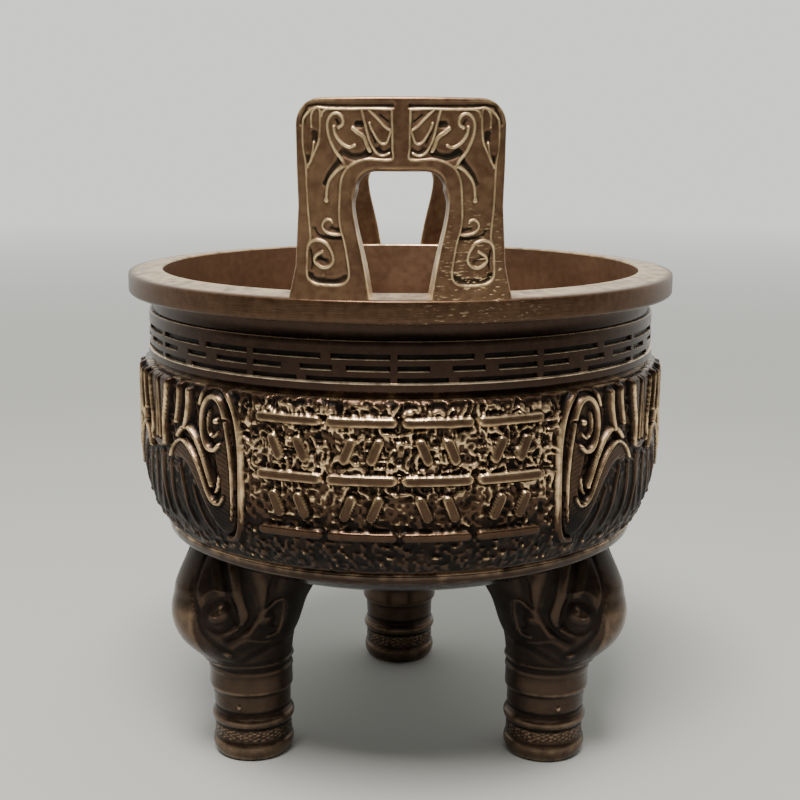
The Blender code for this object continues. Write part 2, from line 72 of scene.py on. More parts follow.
@dataclass(frozen=True)
class VesselForm:
    """Heights and radii of the casting, and the curves that its bowl is turned to."""

    rim_radius: float
    ear_top: float
    leg_height: float = 0.0366
    underside_depth: float = 0.0070
    ridge_height: float = 0.0023
    belly_height: float = 0.0312
    undercut_height: float = 0.0011
    lower_ring_height: float = 0.0016
    meander_height: float = 0.0049
    upper_ring_height: float = 0.0022
    recess_height: float = 0.0031
    rim_thickness: float = 0.0040
    rim_fall: float = 0.0005
    rim_width: float = 0.00655
    rim_edge: float = 0.0006
    neck_radius: float = 0.0493
    recess_depth: float = 0.0009
    belly_radius: float = 0.0504
    belly_tuck: float = 0.0038
    belly_relief: float = 0.0011
    ridge_radius: float = 0.0467
    ridge_groove: float = 0.0008
    wall: float = 0.0034
    floor: float = 0.0040
    cavity_corner: float = 0.0170

    @property
    def ridge_foot(self) -> float:
        """Where the underside ends and the ridge starts."""
        return self.leg_height + self.underside_depth

    @property
    def belly_foot(self) -> float:
        """Lower edge of the belly."""
        return self.ridge_foot + self.ridge_height

    @property
    def belly_top(self) -> float:
        """Upper edge of the belly."""
        return self.belly_foot + self.belly_height

    @property
    def ring_foot(self) -> float:
        """Lower edge of the ring under the meander."""
        return self.belly_top + self.undercut_height

    @property
    def meander_foot(self) -> float:
        """Lower edge of the meander."""
        return self.ring_foot + self.lower_ring_height

    @property
    def meander_top(self) -> float:
        """Upper edge of the meander."""
        return self.meander_foot + self.meander_height

    @property
    def recess_foot(self) -> float:
        """Upper edge of the ring over the meander."""
        return self.meander_top + self.upper_ring_height

    @property
    def rim_foot(self) -> float:
        """Underside of the rim."""
        return self.recess_foot + self.recess_height

    @property
    def rim_outer_top(self) -> float:
        """Top of the rim at its outer edge."""
        return self.rim_foot + self.rim_thickness

    @property
    def rim_top(self) -> float:
        """Top of the rim at its inner edge."""
        return self.rim_outer_top + self.rim_fall

    @property
    def mouth_radius(self) -> float:
        """Inner edge of the rim."""
        return self.rim_radius - self.rim_width

    @property
    def recess_radius(self) -> float:
        """Bottom of the recess under the rim and of the undercut over the belly."""
        return self.neck_radius - self.recess_depth

    @property
    def inside_radius(self) -> float:
        """Inside of the bowl's wall."""
        return self.belly_radius - self.wall

    @property
    def underside_radius(self) -> float:
        """Where the ridge turns into the underside."""
        return self.ridge_radius - 0.4 * self.ridge_height

    def belly_at(self, z: float) -> float:
        """Radius of the belly's ground at a height: nearly upright, tucked in towards its foot."""
        middle = self.belly_foot + 0.72 * self.belly_height
        shoulder = self.belly_top - 0.06 * self.belly_height
        below = max(0.0, (middle - z) / (middle - self.belly_foot))
        above = max(0.0, (z - shoulder) / (self.belly_top - shoulder))
        return self.belly_radius - self.belly_tuck * below ** 5 - 0.3 * self.belly_relief * above ** 2

    def underside_at(self, radius: float | Array) -> float | Array:
        """Height of the bowl's underside at a radius."""
        return self.leg_height + self.underside_depth * (radius / self.underside_radius) ** 4


def soft_step(value: Array, low: float, high: float) -> Array:
    """Rises smoothly from 0 to 1 between two values."""
    share = np.clip((value - low) / (high - low), 0.0, 1.0)
    return share * share * (3.0 - 2.0 * share)


def smooth_path(points: Sequence[Pair], steps: int = 6) -> Array:
    """A smooth line through given points.

    Args:
        points: Places on the sheet, in order.
        steps: Short lengths between two of them.

    Returns:
        The line's own points, one to a row.
    """
    ends = np.array([points[0], *points, points[-1]], float)
    t = np.linspace(0.0, 1.0, steps, endpoint=False)[:, None]
    parts = []
    for a, b, c, d in zip(ends, ends[1:], ends[2:], ends[3:]):
        bend = (2 * a - 5 * b + 4 * c - d) * t ** 2 + (3 * b - a - 3 * c + d) * t ** 3
        parts.append(0.5 * (2 * b + (c - a) * t + bend))
    return np.vstack([*parts, ends[-1:]])


def distance_to_path(x: Array, y: Array, path: Array) -> tuple[Array, Array]:
    """How far points lie from a line.

    Args:
        x: Places across the sheet.
        y: Places up the sheet.
        path: Points of the line.

    Returns:
        The distance of each place, and the share of the line's length where it is nearest.
    """
    best = np.full(x.shape, np.inf)
    along = np.zeros(x.shape)
    count = len(path) - 1
    for i, (start, end) in enumerate(zip(path, path[1:])):
        step = end - start
        square = max(float(step @ step), 1e-16)
        t = np.clip(((x - start[0]) * step[0] + (y - start[1]) * step[1]) / square, 0.0, 1.0)
        gap = np.hypot(x - start[0] - t * step[0], y - start[1] - t * step[1])
        nearer = gap < best
        best[nearer] = gap[nearer]
        along[nearer] = (i + t[nearer]) / count
    return best, along


def cell_noise(x: Array, y: Array, cell: float, seed: int, around: int = NOISE_TABLE) -> Array:
    """Smooth random values on a square net, the same in each run.

    Args:
        x: Places across the sheet.
        y: Places up the sheet.
        cell: Width of one cell.
        seed: Start of the random draw.
        around: Cells after which the pattern repeats across the sheet, at most the table's width.

    Returns:
        Values from 0 to 1.
    """
    table = np.random.default_rng(seed).random((NOISE_TABLE, NOISE_TABLE))
    u, v = x / cell, y / cell
    i, j = np.floor(u).astype(int), np.floor(v).astype(int)
    s, t = soft_step(u - i, 0.0, 1.0), soft_step(v - j, 0.0, 1.0)
    left, right = np.mod(i, around), np.mod(i + 1, around)
    low, high = np.mod(j, NOISE_TABLE), np.mod(j + 1, NOISE_TABLE)
    bottom = table[left, low] * (1 - s) + table[right, low] * s
    top = table[left, high] * (1 - s) + table[right, high] * s
    return bottom * (1 - t) + top * t


@dataclass(frozen=True)
class Stroke:
    """One raised band or sunk line of the carving, on a flat sheet in metres."""

    points: Sequence[Pair]
    half_width: float
    height: float
    edge: float = 0.00028
    crown: float = 0.35
    taper: Pair = (1.0, 1.0)
    adds: bool = False

    def press(self, relief: Array, x: Array, y: Array) -> None:
        """Raises or sinks the sheet along the stroke.

        Args:
            relief: Height of each place, changed here.
            x: Places across the sheet.
            y: Places up the sheet.
        """
        path = smooth_path(self.points)
        reach = self.half_width * max(self.taper) + self.edge
        low, high = path.min(0) - reach, path.max(0) + reach
        near = np.nonzero((x > low[0]) & (x < high[0]) & (y > low[1]) & (y < high[1]))[0]
        if not near.size:
            return
        gap, along = distance_to_path(x[near], y[near], path)
        half = self.half_width * (self.taper[0] + (self.taper[1] - self.taper[0]) * along)
        cover = 1.0 - soft_step(gap - half, 0.0, self.edge)
        top = self.height * (1.0 - self.crown * np.minimum(gap / half, 1.0) ** 2)
        relief[near] += (top - (0.0 if self.adds else relief[near])) * cover


@dataclass(frozen=True)
class Patch:
    """One raised or sunk area of the carving, inside a closed line."""

    points: Sequence[Pair]
    height: float
    edge: float = 0.00030
    hatch: float = 0.0

    def press(self, relief: Array, x: Array, y: Array) -> None:
        """Raises or sinks the sheet inside the line.

        Args:
            relief: Height of each place, changed here.
            x: Places across the sheet.
            y: Places up the sheet.
        """
        path = smooth_path([*self.points, self.points[0]], 4)
        low, high = path.min(0), path.max(0)
        near = np.nonzero((x > low[0]) & (x < high[0]) & (y > low[1]) & (y < high[1]))[0]
        px, py = x[near], y[near]
        inside = np.zeros(near.shape, bool)
        for (ax, ay), (bx, by) in zip(path, path[1:]):
            if ay != by:
                inside ^= ((ay > py) != (by > py)) & (px < ax + (py - ay) * (bx - ax) / (by - ay))
        near, px, py = near[inside], px[inside], py[inside]
        gap, _ = distance_to_path(px, py, path)
        cover = soft_step(gap, 0.0, self.edge)
        lines = 0.5 + 0.5 * np.cos(2 * math.pi * (py + 0.35 * px) / HATCH_PITCH)
        relief[near] += (self.height - self.hatch * lines - relief[near]) * cover


def bead(place: Pair, radius: float, height: float) -> Stroke:
    """A round bead of the carving."""
    return Stroke((place, (place[0], place[1] + 0.1 * radius)), 0.35 * radius, height, 0.65 * radius, 0.1)


class Zone(Enum):
    """Zones of the casting, each with the name of its bronze."""

    RIM = "rim_bronze"
    NECK = "neck_bronze"
    BELLY = "belly_bronze"
    FOOT = "foot_bronze"
    LINING = "lining_bronze"
    EAR = "ear_bronze"
    LEG = "leg_bronze"


@dataclass(frozen=True)
class Finish:
    """The patina of one zone: its colours from the hollows to the worn edges, the dark one also taking
    painted shade and the worn one painted highlights, and its gloss.
    """

    body: Colour
    mottle: Colour
    hollow_and_shade: Colour
    worn_and_highlight: Colour
    roughness: float
    wear: float
    grime_and_shade: float
    grain: float
    brushing: float = 0.0
    metallic: float = 0.85
    coat: float = 0.06
    # Painted shade: how strongly sides that face down are darkened.
    below: float = 0.6
    scratches: float = 0.0


# Each finish's dark colour also takes the painted shade, and its worn colour takes the painted highlights.
FINISHES: dict[Zone, Finish] = {
    Zone.RIM: Finish((0.098, 0.050, 0.026), (0.165, 0.090, 0.050), (0.03, 0.017, 0.010),
                     (0.92, 0.68, 0.42), 0.33, 0.9, 0.4, 0.25, 0.5, scratches=0.6),
    Zone.NECK: Finish((0.044, 0.024, 0.016), (0.070, 0.038, 0.024), (0.004, 0.003, 0.002),
                      (0.95, 0.74, 0.50), 0.24, 1.0, 1.0, 0.2),
    Zone.BELLY: Finish((0.072, 0.038, 0.021), (0.120, 0.066, 0.036), (0.006, 0.004, 0.0028),
                       (0.98, 0.70, 0.40), 0.26, 1.0, 1.0, 0.4),
    Zone.FOOT: Finish((0.040, 0.024, 0.016), (0.060, 0.036, 0.023), (0.008, 0.005, 0.004),
                      (0.70, 0.48, 0.30), 0.22, 0.8, 0.7, 0.3),
    Zone.LINING: Finish((0.270, 0.160, 0.098), (0.350, 0.212, 0.130), (0.14, 0.08, 0.05),
                        (0.6, 0.42, 0.26), 0.52, 0.0, 0.0, 0.2),
    Zone.EAR: Finish((0.195, 0.098, 0.056), (0.330, 0.195, 0.105), (0.018, 0.013, 0.007),
                     (1.0, 0.76, 0.42), 0.36, 1.0, 1.0, 0.3, scratches=1.0),
    Zone.LEG: Finish((0.046, 0.029, 0.020), (0.074, 0.045, 0.028), (0.007, 0.005, 0.004),
                     (0.55, 0.37, 0.23), 0.28, 0.7, 0.9, 0.25),
}


class Graph:
    """Adds and joins nodes in one node tree."""

    def __init__(self, tree: bpy.types.NodeTree) -> None:
        """Keeps the tree that the nodes go into."""
        self.tree = tree

    def add(self, kind: str, sockets: dict | None = None, **settings: object) -> bpy.types.Node:
        """Makes a node.

        Args:
            kind: The node's type.
            sockets: Values or other nodes' outputs, by the input's name or number.
            settings: Options set on the node.

        Returns:
            The new node.
        """
        node = self.tree.nodes.new(kind)
        for name, value in settings.items():
            setattr(node, name, value)
        for name, value in (sockets or {}).items():
            self.feed(node.inputs[name], value)
        return node

    def feed(self, socket: bpy.types.NodeSocket, value: object) -> None:
        """Joins an output to an input, or sets its value."""
        if isinstance(value, bpy.types.NodeSocket):
            self.tree.links.new(value, socket)
        else:
            socket.default_value = value

    def math(self, operation: str, first: object, second: object = 0.0) -> bpy.types.NodeSocket:
        """A sum of two values, kept between 0 and 1."""
        node = self.add("ShaderNodeMath", {0: first, 1: second}, operation=operation, use_clamp=True)
        return node.outputs[0]

    def span(self, value: object, low: float, high: float, start: float = 0.0, end: float = 1.0
             ) -> bpy.types.NodeSocket:
        """Carries a value from one range to another, held at its ends."""
        names = ("Value", "From Min", "From Max", "To Min", "To Max")
        return self.add("ShaderNodeMapRange", dict(zip(names, (value, low, high, start, end)))).outputs[0]

    def blend(self, share: object, first: object, second: object) -> bpy.types.NodeSocket:
        """Blends two colours."""
        node = self.add("ShaderNodeMix", {0: share, 6: first, 7: second}, data_type="RGBA")
        return node.outputs[2]

    def noise(self, place: object, scale: float, detail: float = 3.0) -> bpy.types.NodeSocket:
        """Plain noise on the object's own coordinates, from 0 to 1."""
        sockets = {"Vector": place, "Scale": scale, "Detail": detail}
        return self.add("ShaderNodeTexNoise", sockets).outputs["Fac"]


class EffectGroups:
    """Node groups shared by all bronze finishes: wear with painted highlights, dirt with painted shade,
    painted shade on downward sides, mottling, grain and scratches.
    """

    def __init__(self) -> None:
        """Builds each group once."""
        self.worn_and_highlight = self.make_group("rubbed_edges_and_highlights", ("Edge", "Amount"), "Mask", self.fill_wear_and_highlights)
        self.grime_and_shade = self.make_group("grime_and_shade_in_hollows", ("Hollow_and_shade", "Amount"), "Mask", self.fill_grime_and_shade)
        self.mottle = self.make_group("patina_mottle", ("Amount",), "Mask", self.fill_mottle)
        self.grain = self.make_group("casting_grain", ("Grain", "Brushing"), "Height", self.fill_grain)
        # Painted shade on sides that face down.
        self.below = self.make_group("painted_shade_below", ("Amount",), "Mask", self.fill_painted_shade_below)
        self.scratches = self.make_group("scratches", ("Amount",), "Mask", self.fill_scratches)

    def make_group(self, name: str, inputs: Sequence[str], output: str, fill: Callable
                   ) -> bpy.types.NodeTree:
        """Makes a group with number sockets.

        Args:
            name: The group's name.
            inputs: Names of its inputs.
            output: Name of its output.
            fill: Function that makes the nodes inside and returns the result's socket.

        Returns:
            The finished group.
        """
        tree = bpy.data.node_groups.new(name, "ShaderNodeTree")
        for socket in inputs:
            tree.interface.new_socket(socket, in_out="INPUT", socket_type="NodeSocketFloat")
        tree.interface.new_socket(output, in_out="OUTPUT", socket_type="NodeSocketFloat")
        graph = Graph(tree)
        source = graph.add("NodeGroupInput")
        place = graph.add("ShaderNodeTexCoord").outputs["Object"]
        result = fill(graph, source, place)
        graph.add("NodeGroupOutput", {0: result})
        return tree

    def fill_wear_and_highlights(self, graph: Graph, source: bpy.types.Node, place: bpy.types.NodeSocket
                    ) -> bpy.types.NodeSocket:
        """Edges that fingers and cloth have worn to the metal, with the painted highlights that the stored
        marks add, broken up by noise.
        """
        broken = graph.span(graph.noise(place, 420.0), 0.30, 0.62, 0.35, 1.25)
        edge = graph.span(source.outputs["Edge"], 0.12, 0.75)
        worn = graph.math("MULTIPLY", edge, broken)
        return graph.math("MULTIPLY", worn, source.outputs["Amount"])

    def fill_grime_and_shade(self, graph: Graph, source: bpy.types.Node, place: bpy.types.NodeSocket
                   ) -> bpy.types.NodeSocket:
        """Dark wax and dirt that stay in the hollows, with the painted shade that the stored marks add."""
        uneven = graph.span(graph.noise(place, 260.0), 0.25, 0.75, 0.75, 1.15)
        deep = graph.span(source.outputs["Hollow_and_shade"], 0.05, 0.6)
        dark = graph.math("MULTIPLY", deep, uneven)
        return graph.math("MULTIPLY", dark, source.outputs["Amount"])

    def fill_mottle(self, graph: Graph, source: bpy.types.Node, place: bpy.types.NodeSocket
                    ) -> bpy.types.NodeSocket:
        """Slow and quick changes of tone in the patina."""
        slow = graph.noise(place, 60.0, 2.0)
        quick = graph.noise(place, 700.0, 4.0)
        both = graph.add("ShaderNodeMath", {0: slow, 1: quick}, operation="ADD").outputs[0]
        return graph.math("MULTIPLY", graph.span(both, 0.75, 1.25), source.outputs["Amount"])

    def fill_grain(self, graph: Graph, source: bpy.types.Node, place: bpy.types.NodeSocket
                   ) -> bpy.types.NodeSocket:
        """Fine casting grain, and the faint level scratches of a brush."""
        fine = graph.noise(place, 2600.0, 3.0)
        coarse = graph.noise(place, 900.0, 2.0)
        grain = graph.math("MULTIPLY", graph.math("MULTIPLY", fine, coarse), source.outputs["Grain"])
        squeezed = graph.add("ShaderNodeMapping", {"Vector": place, "Scale": (0.15, 0.15, 4.0)})
        lines = graph.noise(squeezed.outputs[0], 1500.0, 2.0)
        brushed = graph.math("MULTIPLY", lines, source.outputs["Brushing"])
        return graph.math("ADD", grain, brushed)

    def fill_painted_shade_below(self, graph: Graph, source: bpy.types.Node, place: bpy.types.NodeSocket
                   ) -> bpy.types.NodeSocket:
        """Painted shade: sides that face down are darkened towards the dark colour."""
        normal = graph.add("ShaderNodeNewGeometry").outputs["Normal"]
        up = graph.add("ShaderNodeSeparateXYZ", {0: normal}).outputs["Z"]
        return graph.math("MULTIPLY", graph.span(up, 0.10, -0.45), source.outputs["Amount"])

    def fill_scratches(self, graph: Graph, source: bpy.types.Node, place: bpy.types.NodeSocket
                       ) -> bpy.types.NodeSocket:
        """Knocks and scratches by the right foot of the front ear."""
        away = graph.add("ShaderNodeVectorMath", {0: place, 1: SCRATCHED_PLACE}, operation="DISTANCE")
        near = graph.span(away.outputs["Value"], 0.003, 0.015, 1.0, 0.0)
        turned = graph.add("ShaderNodeMapping", {"Vector": place, "Rotation": (0.4, 0.6, 0.3),
                                                 "Scale": (0.35, 1.0, 1.6)})
        marks = graph.span(graph.noise(turned.outputs[0], 1700.0, 3.0), 0.60, 0.68)
        return graph.math("MULTIPLY", graph.math("MULTIPLY", marks, near), source.outputs["Amount"])


class BronzeMaker:
    """Makes the bronze material of each zone from its finish and the shared groups."""

    def __init__(self) -> None:
        """Builds the groups and every zone's material."""
        self.groups = EffectGroups()
        self.materials = {zone: self.make(zone.value, finish) for zone, finish in FINISHES.items()}

    def place_group(self, graph: Graph, tree: bpy.types.NodeTree, values: dict) -> bpy.types.NodeSocket:
        """Places a shared group in a material and gives its result."""
        node = graph.add("ShaderNodeGroup", node_tree=tree)
        for name, value in values.items():
            graph.feed(node.inputs[name], value)
        return node.outputs[0]

    def make(self, name: str, finish: Finish) -> bpy.types.Material:
        """Makes one zone's material.

        Args:
            name: The material's name.
            finish: Colours, gloss and wear of the zone.

        Returns:
            The finished material.
        """
        material = bpy.data.materials.new(name)
        material.use_nodes = True
        graph = Graph(material.node_tree)
        shader = material.node_tree.nodes["Principled BSDF"]
        edge = graph.add("ShaderNodeAttribute", attribute_name="edge").outputs["Fac"]
        hollow_and_shade = graph.add("ShaderNodeAttribute", attribute_name="hollow_and_shade").outputs["Fac"]
        worn_and_highlight = self.place_group(graph, self.groups.worn_and_highlight, {"Edge": edge, "Amount": finish.wear})
        grime_and_shade = self.place_group(graph, self.groups.grime_and_shade, {"Hollow_and_shade": hollow_and_shade, "Amount": finish.grime_and_shade})
        mottle = self.place_group(graph, self.groups.mottle, {"Amount": 1.0})
        values = {"Grain": finish.grain, "Brushing": finish.brushing}
        height = self.place_group(graph, self.groups.grain, values)
        tone = graph.blend(mottle, (*finish.body, 1.0), (*finish.mottle, 1.0))
        # Painted shade on sides that face down, joined next with the dirt in the hollows.
        below = self.place_group(graph, self.groups.below, {"Amount": finish.below})
        # Dirt in hollows, painted shade from the stored marks and painted shade on downward sides, all
        # towards the dark colour.
        grime_and_shade_cover = graph.math("MAXIMUM", grime_and_shade, below)
        dirty_and_shaded = graph.blend(grime_and_shade_cover, tone, (*finish.hollow_and_shade, 1.0))
        scratched = self.place_group(graph, self.groups.scratches, {"Amount": finish.scratches})
        # Worn edges, painted highlights and scratches take the worn colour.
        bare_and_highlit = graph.math("MAXIMUM", worn_and_highlight, scratched)
        graph.feed(shader.inputs["Base Color"], graph.blend(bare_and_highlit, dirty_and_shaded, (*finish.worn_and_highlight, 1.0)))
        dull = graph.span(grime_and_shade, 0.0, 1.0, finish.roughness, finish.roughness + 0.3)
        uneven = graph.span(mottle, 0.0, 1.0, -0.05, 0.06)
        rough = graph.add("ShaderNodeMath", {0: dull, 1: uneven}, operation="ADD").outputs[0]
        graph.feed(shader.inputs["Roughness"], rough)
        shader.inputs["Metallic"].default_value = finish.metallic
        shader.inputs["Coat Weight"].default_value = finish.coat
        shader.inputs["Coat Roughness"].default_value = 0.22
        bump = graph.add("ShaderNodeBump", {"Height": height, "Strength": 0.55, "Distance": 0.00012})
        graph.feed(shader.inputs["Normal"], bump.outputs["Normal"])
        return material


def mesh_points(mesh: bpy.types.Mesh) -> Array:
    """The mesh's points, one to a row."""
    points = np.zeros(len(mesh.vertices) * 3, np.float32)
    mesh.vertices.foreach_get("co", points)
    return points.reshape(-1, 3).astype(float)


def move_points(mesh: bpy.types.Mesh, points: Array) -> None:
    """Moves the mesh's points to new places."""
    mesh.vertices.foreach_set("co", points.astype(np.float32).ravel())
    mesh.update()


def mark_wear_and_painted_light(mesh: bpy.types.Mesh, level: Array) -> None:
    """Notes on each point a colour shift from -1 to 1: below 0 it darkens, for painted shade and dark patina;
    above 0 it lightens, for painted highlights and wear.
    """
    attribute = mesh.attributes.new("level", "FLOAT", "POINT")
    attribute.data.foreach_set("value", np.clip(level, -1.0, 1.0).astype(np.float32))


def store_wear_and_painted_light(mesh: bpy.types.Mesh, full: float) -> None:
    """Stores on each point how sharply it stands out and how deep it lies, for the patina, adding the painted
    highlights and painted shade of its stored marks.

    Args:
        mesh: The finished mesh.
        full: Bend between neighbouring points that counts as a full edge.
    """
    count = len(mesh.vertices)
    points = mesh_points(mesh)
    normals = np.zeros(count * 3, np.float32)
    mesh.vertex_normals.foreach_get("vector", normals)
    pairs = np.zeros(len(mesh.edges) * 2, np.int32)
    mesh.edges.foreach_get("vertices", pairs)
    a, b = pairs.reshape(-1, 2).T
    degree = np.maximum(np.bincount(a, minlength=count) + np.bincount(b, minlength=count), 1)

    def around(values: Array) -> Array:
        """Mean of the neighbours' values."""
        total = np.bincount(a, values[b], count) + np.bincount(b, values[a], count)
        return total / degree

    mean = np.stack([around(points[:, k]) for k in range(3)], 1)
    length = np.linalg.norm(points[a] - points[b], axis=1)
    spread = (np.bincount(a, length, count) + np.bincount(b, length, count)) / degree
    stands = ((points - mean) * normals.reshape(-1, 3)).sum(1) / np.maximum(spread, 1e-9)
    wide = stands.copy()
    for _ in range(SMOOTHING_ROUNDS):
        wide = 0.4 * wide + 0.6 * around(wide)
    near = 0.6 * stands + 0.4 * around(stands)
    level = np.zeros(count, np.float32)
    if "level" in mesh.attributes:
        mesh.attributes["level"].data.foreach_get("value", level)
    # Edges plus the positive stored marks, which hold painted highlights as well as wear.
    edge = (0.6 * near + 0.8 * wide) / full + level
    # Hollows plus the negative stored marks, which hold painted shade as well as dark patina.
    hollow_and_shade = -(0.5 * near + 2.2 * wide) / full + np.maximum(-level, 0.0)
    for name, values in (("edge", edge), ("hollow_and_shade", hollow_and_shade)):
        attribute = mesh.attributes.new(name, "FLOAT", "POINT")
        attribute.data.foreach_set("value", np.clip(values, 0.0, 1.0).astype(np.float32))


def finish_piece(name: str, mesh: bpy.types.Mesh, material: bpy.types.Material, sharp: float = 60.0,
                 full: float = 0.30) -> bpy.types.Object:
    """Turns a mesh into a shown piece that stands for the casting.

    Args:
        name: The piece's name.
        mesh: Its closed mesh, in place.
        material: Its bronze.
        sharp: Angle between faces, in degrees, from which an edge stays sharp.
        full: Bend that counts as a full edge for the wear.

    Returns:
        The piece.
    """
    bm = bmesh.new()
    bm.from_mesh(mesh)
    bmesh.ops.recalc_face_normals(bm, faces=bm.faces)
    bm.to_mesh(mesh)
    bm.free()
    mesh.materials.append(material)
    mesh.shade_smooth()
    mesh.set_sharp_from_angle(angle=math.radians(sharp))
    store_wear_and_painted_light(mesh, full)
    piece = bpy.data.objects.new(name, mesh)
    bpy.context.scene.collection.objects.link(piece)
    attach(piece, BODY)
    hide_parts(NODE)
    mesh.calc_loop_triangles()
    LOG.info("%s: %d triangles", name, len(mesh.loop_triangles))
    return piece


def grid_mesh(name: str, columns: int, rows: int) -> tuple[bpy.types.Mesh, Array, Array]:
    """A flat grid of points, to be bent into shape.

    Args:
        name: The mesh's name.
        columns: Steps across it.
        rows: Steps up it.

    Returns:
        The mesh, and the column and row of each point.
    """
    bm = bmesh.new()
    bmesh.ops.create_grid(bm, x_segments=columns, y_segments=rows, size=1.0)
    mesh = bpy.data.meshes.new(name)
    bm.to_mesh(mesh)
    bm.free()
    places = (mesh_points(mesh)[:, :2] + 1.0) / 2.0 * (columns, rows)
    column, row = np.rint(places).astype(int).T
    return mesh, column, row


def close_mesh(mesh: bpy.types.Mesh) -> None:
    """Joins points that lie together and fills the open ends."""
    bm = bmesh.new()
    bm.from_mesh(mesh)
    bmesh.ops.remove_doubles(bm, verts=bm.verts, dist=1e-7)
    bmesh.ops.holes_fill(bm, edges=[e for e in bm.edges if e.is_boundary])
    bm.to_mesh(mesh)
    bm.free()


def turned_mesh(name: str, profile: Sequence[Pair], steps: int, start: float = 0.0, sweep: float = 360.0
                ) -> bpy.types.Mesh:
    """Turns a closed profile round the vessel's axis.

    Args:
        name: The mesh's name.
        profile: Radius and height of each point, in order.
        steps: Columns in the turn.
        start: Angle of the first column from the front, in degrees.
        sweep: How far the turn goes, in degrees.

    Returns:
        The closed mesh.
    """
    count = len(profile)
    mesh, column, row = grid_mesh(name, steps, count)
    radius, z = np.array(profile)[row % count].T
    angle = np.radians(start + sweep * (column % steps if sweep > 359.9 else column) / steps)
    move_points(mesh, to_place(angle, radius, z))
    close_mesh(mesh)
    return mesh


def polar(points: Array) -> tuple[Array, Array]:
    """Angle from the front and radius of each point."""
    return np.arctan2(points[:, 0], -points[:, 1]), np.hypot(points[:, 0], points[:, 1])


def to_place(angle: Array, radius: Array, z: Array) -> Array:
    """Points at an angle from the front, a radius and a height."""
    return np.stack([radius * np.sin(angle), -radius * np.cos(angle), z], 1)


def round_corner(profile: list[Pair], centre: Pair, radius: float, start: float, end: float, steps: int
                 ) -> None:
    """Adds a round corner to a profile, its angles in degrees from straight outwards."""
    for k in range(steps + 1):
        turn = math.radians(start + (end - start) * k / steps)
        profile.append((centre[0] + radius * math.cos(turn), centre[1] + radius * math.sin(turn)))


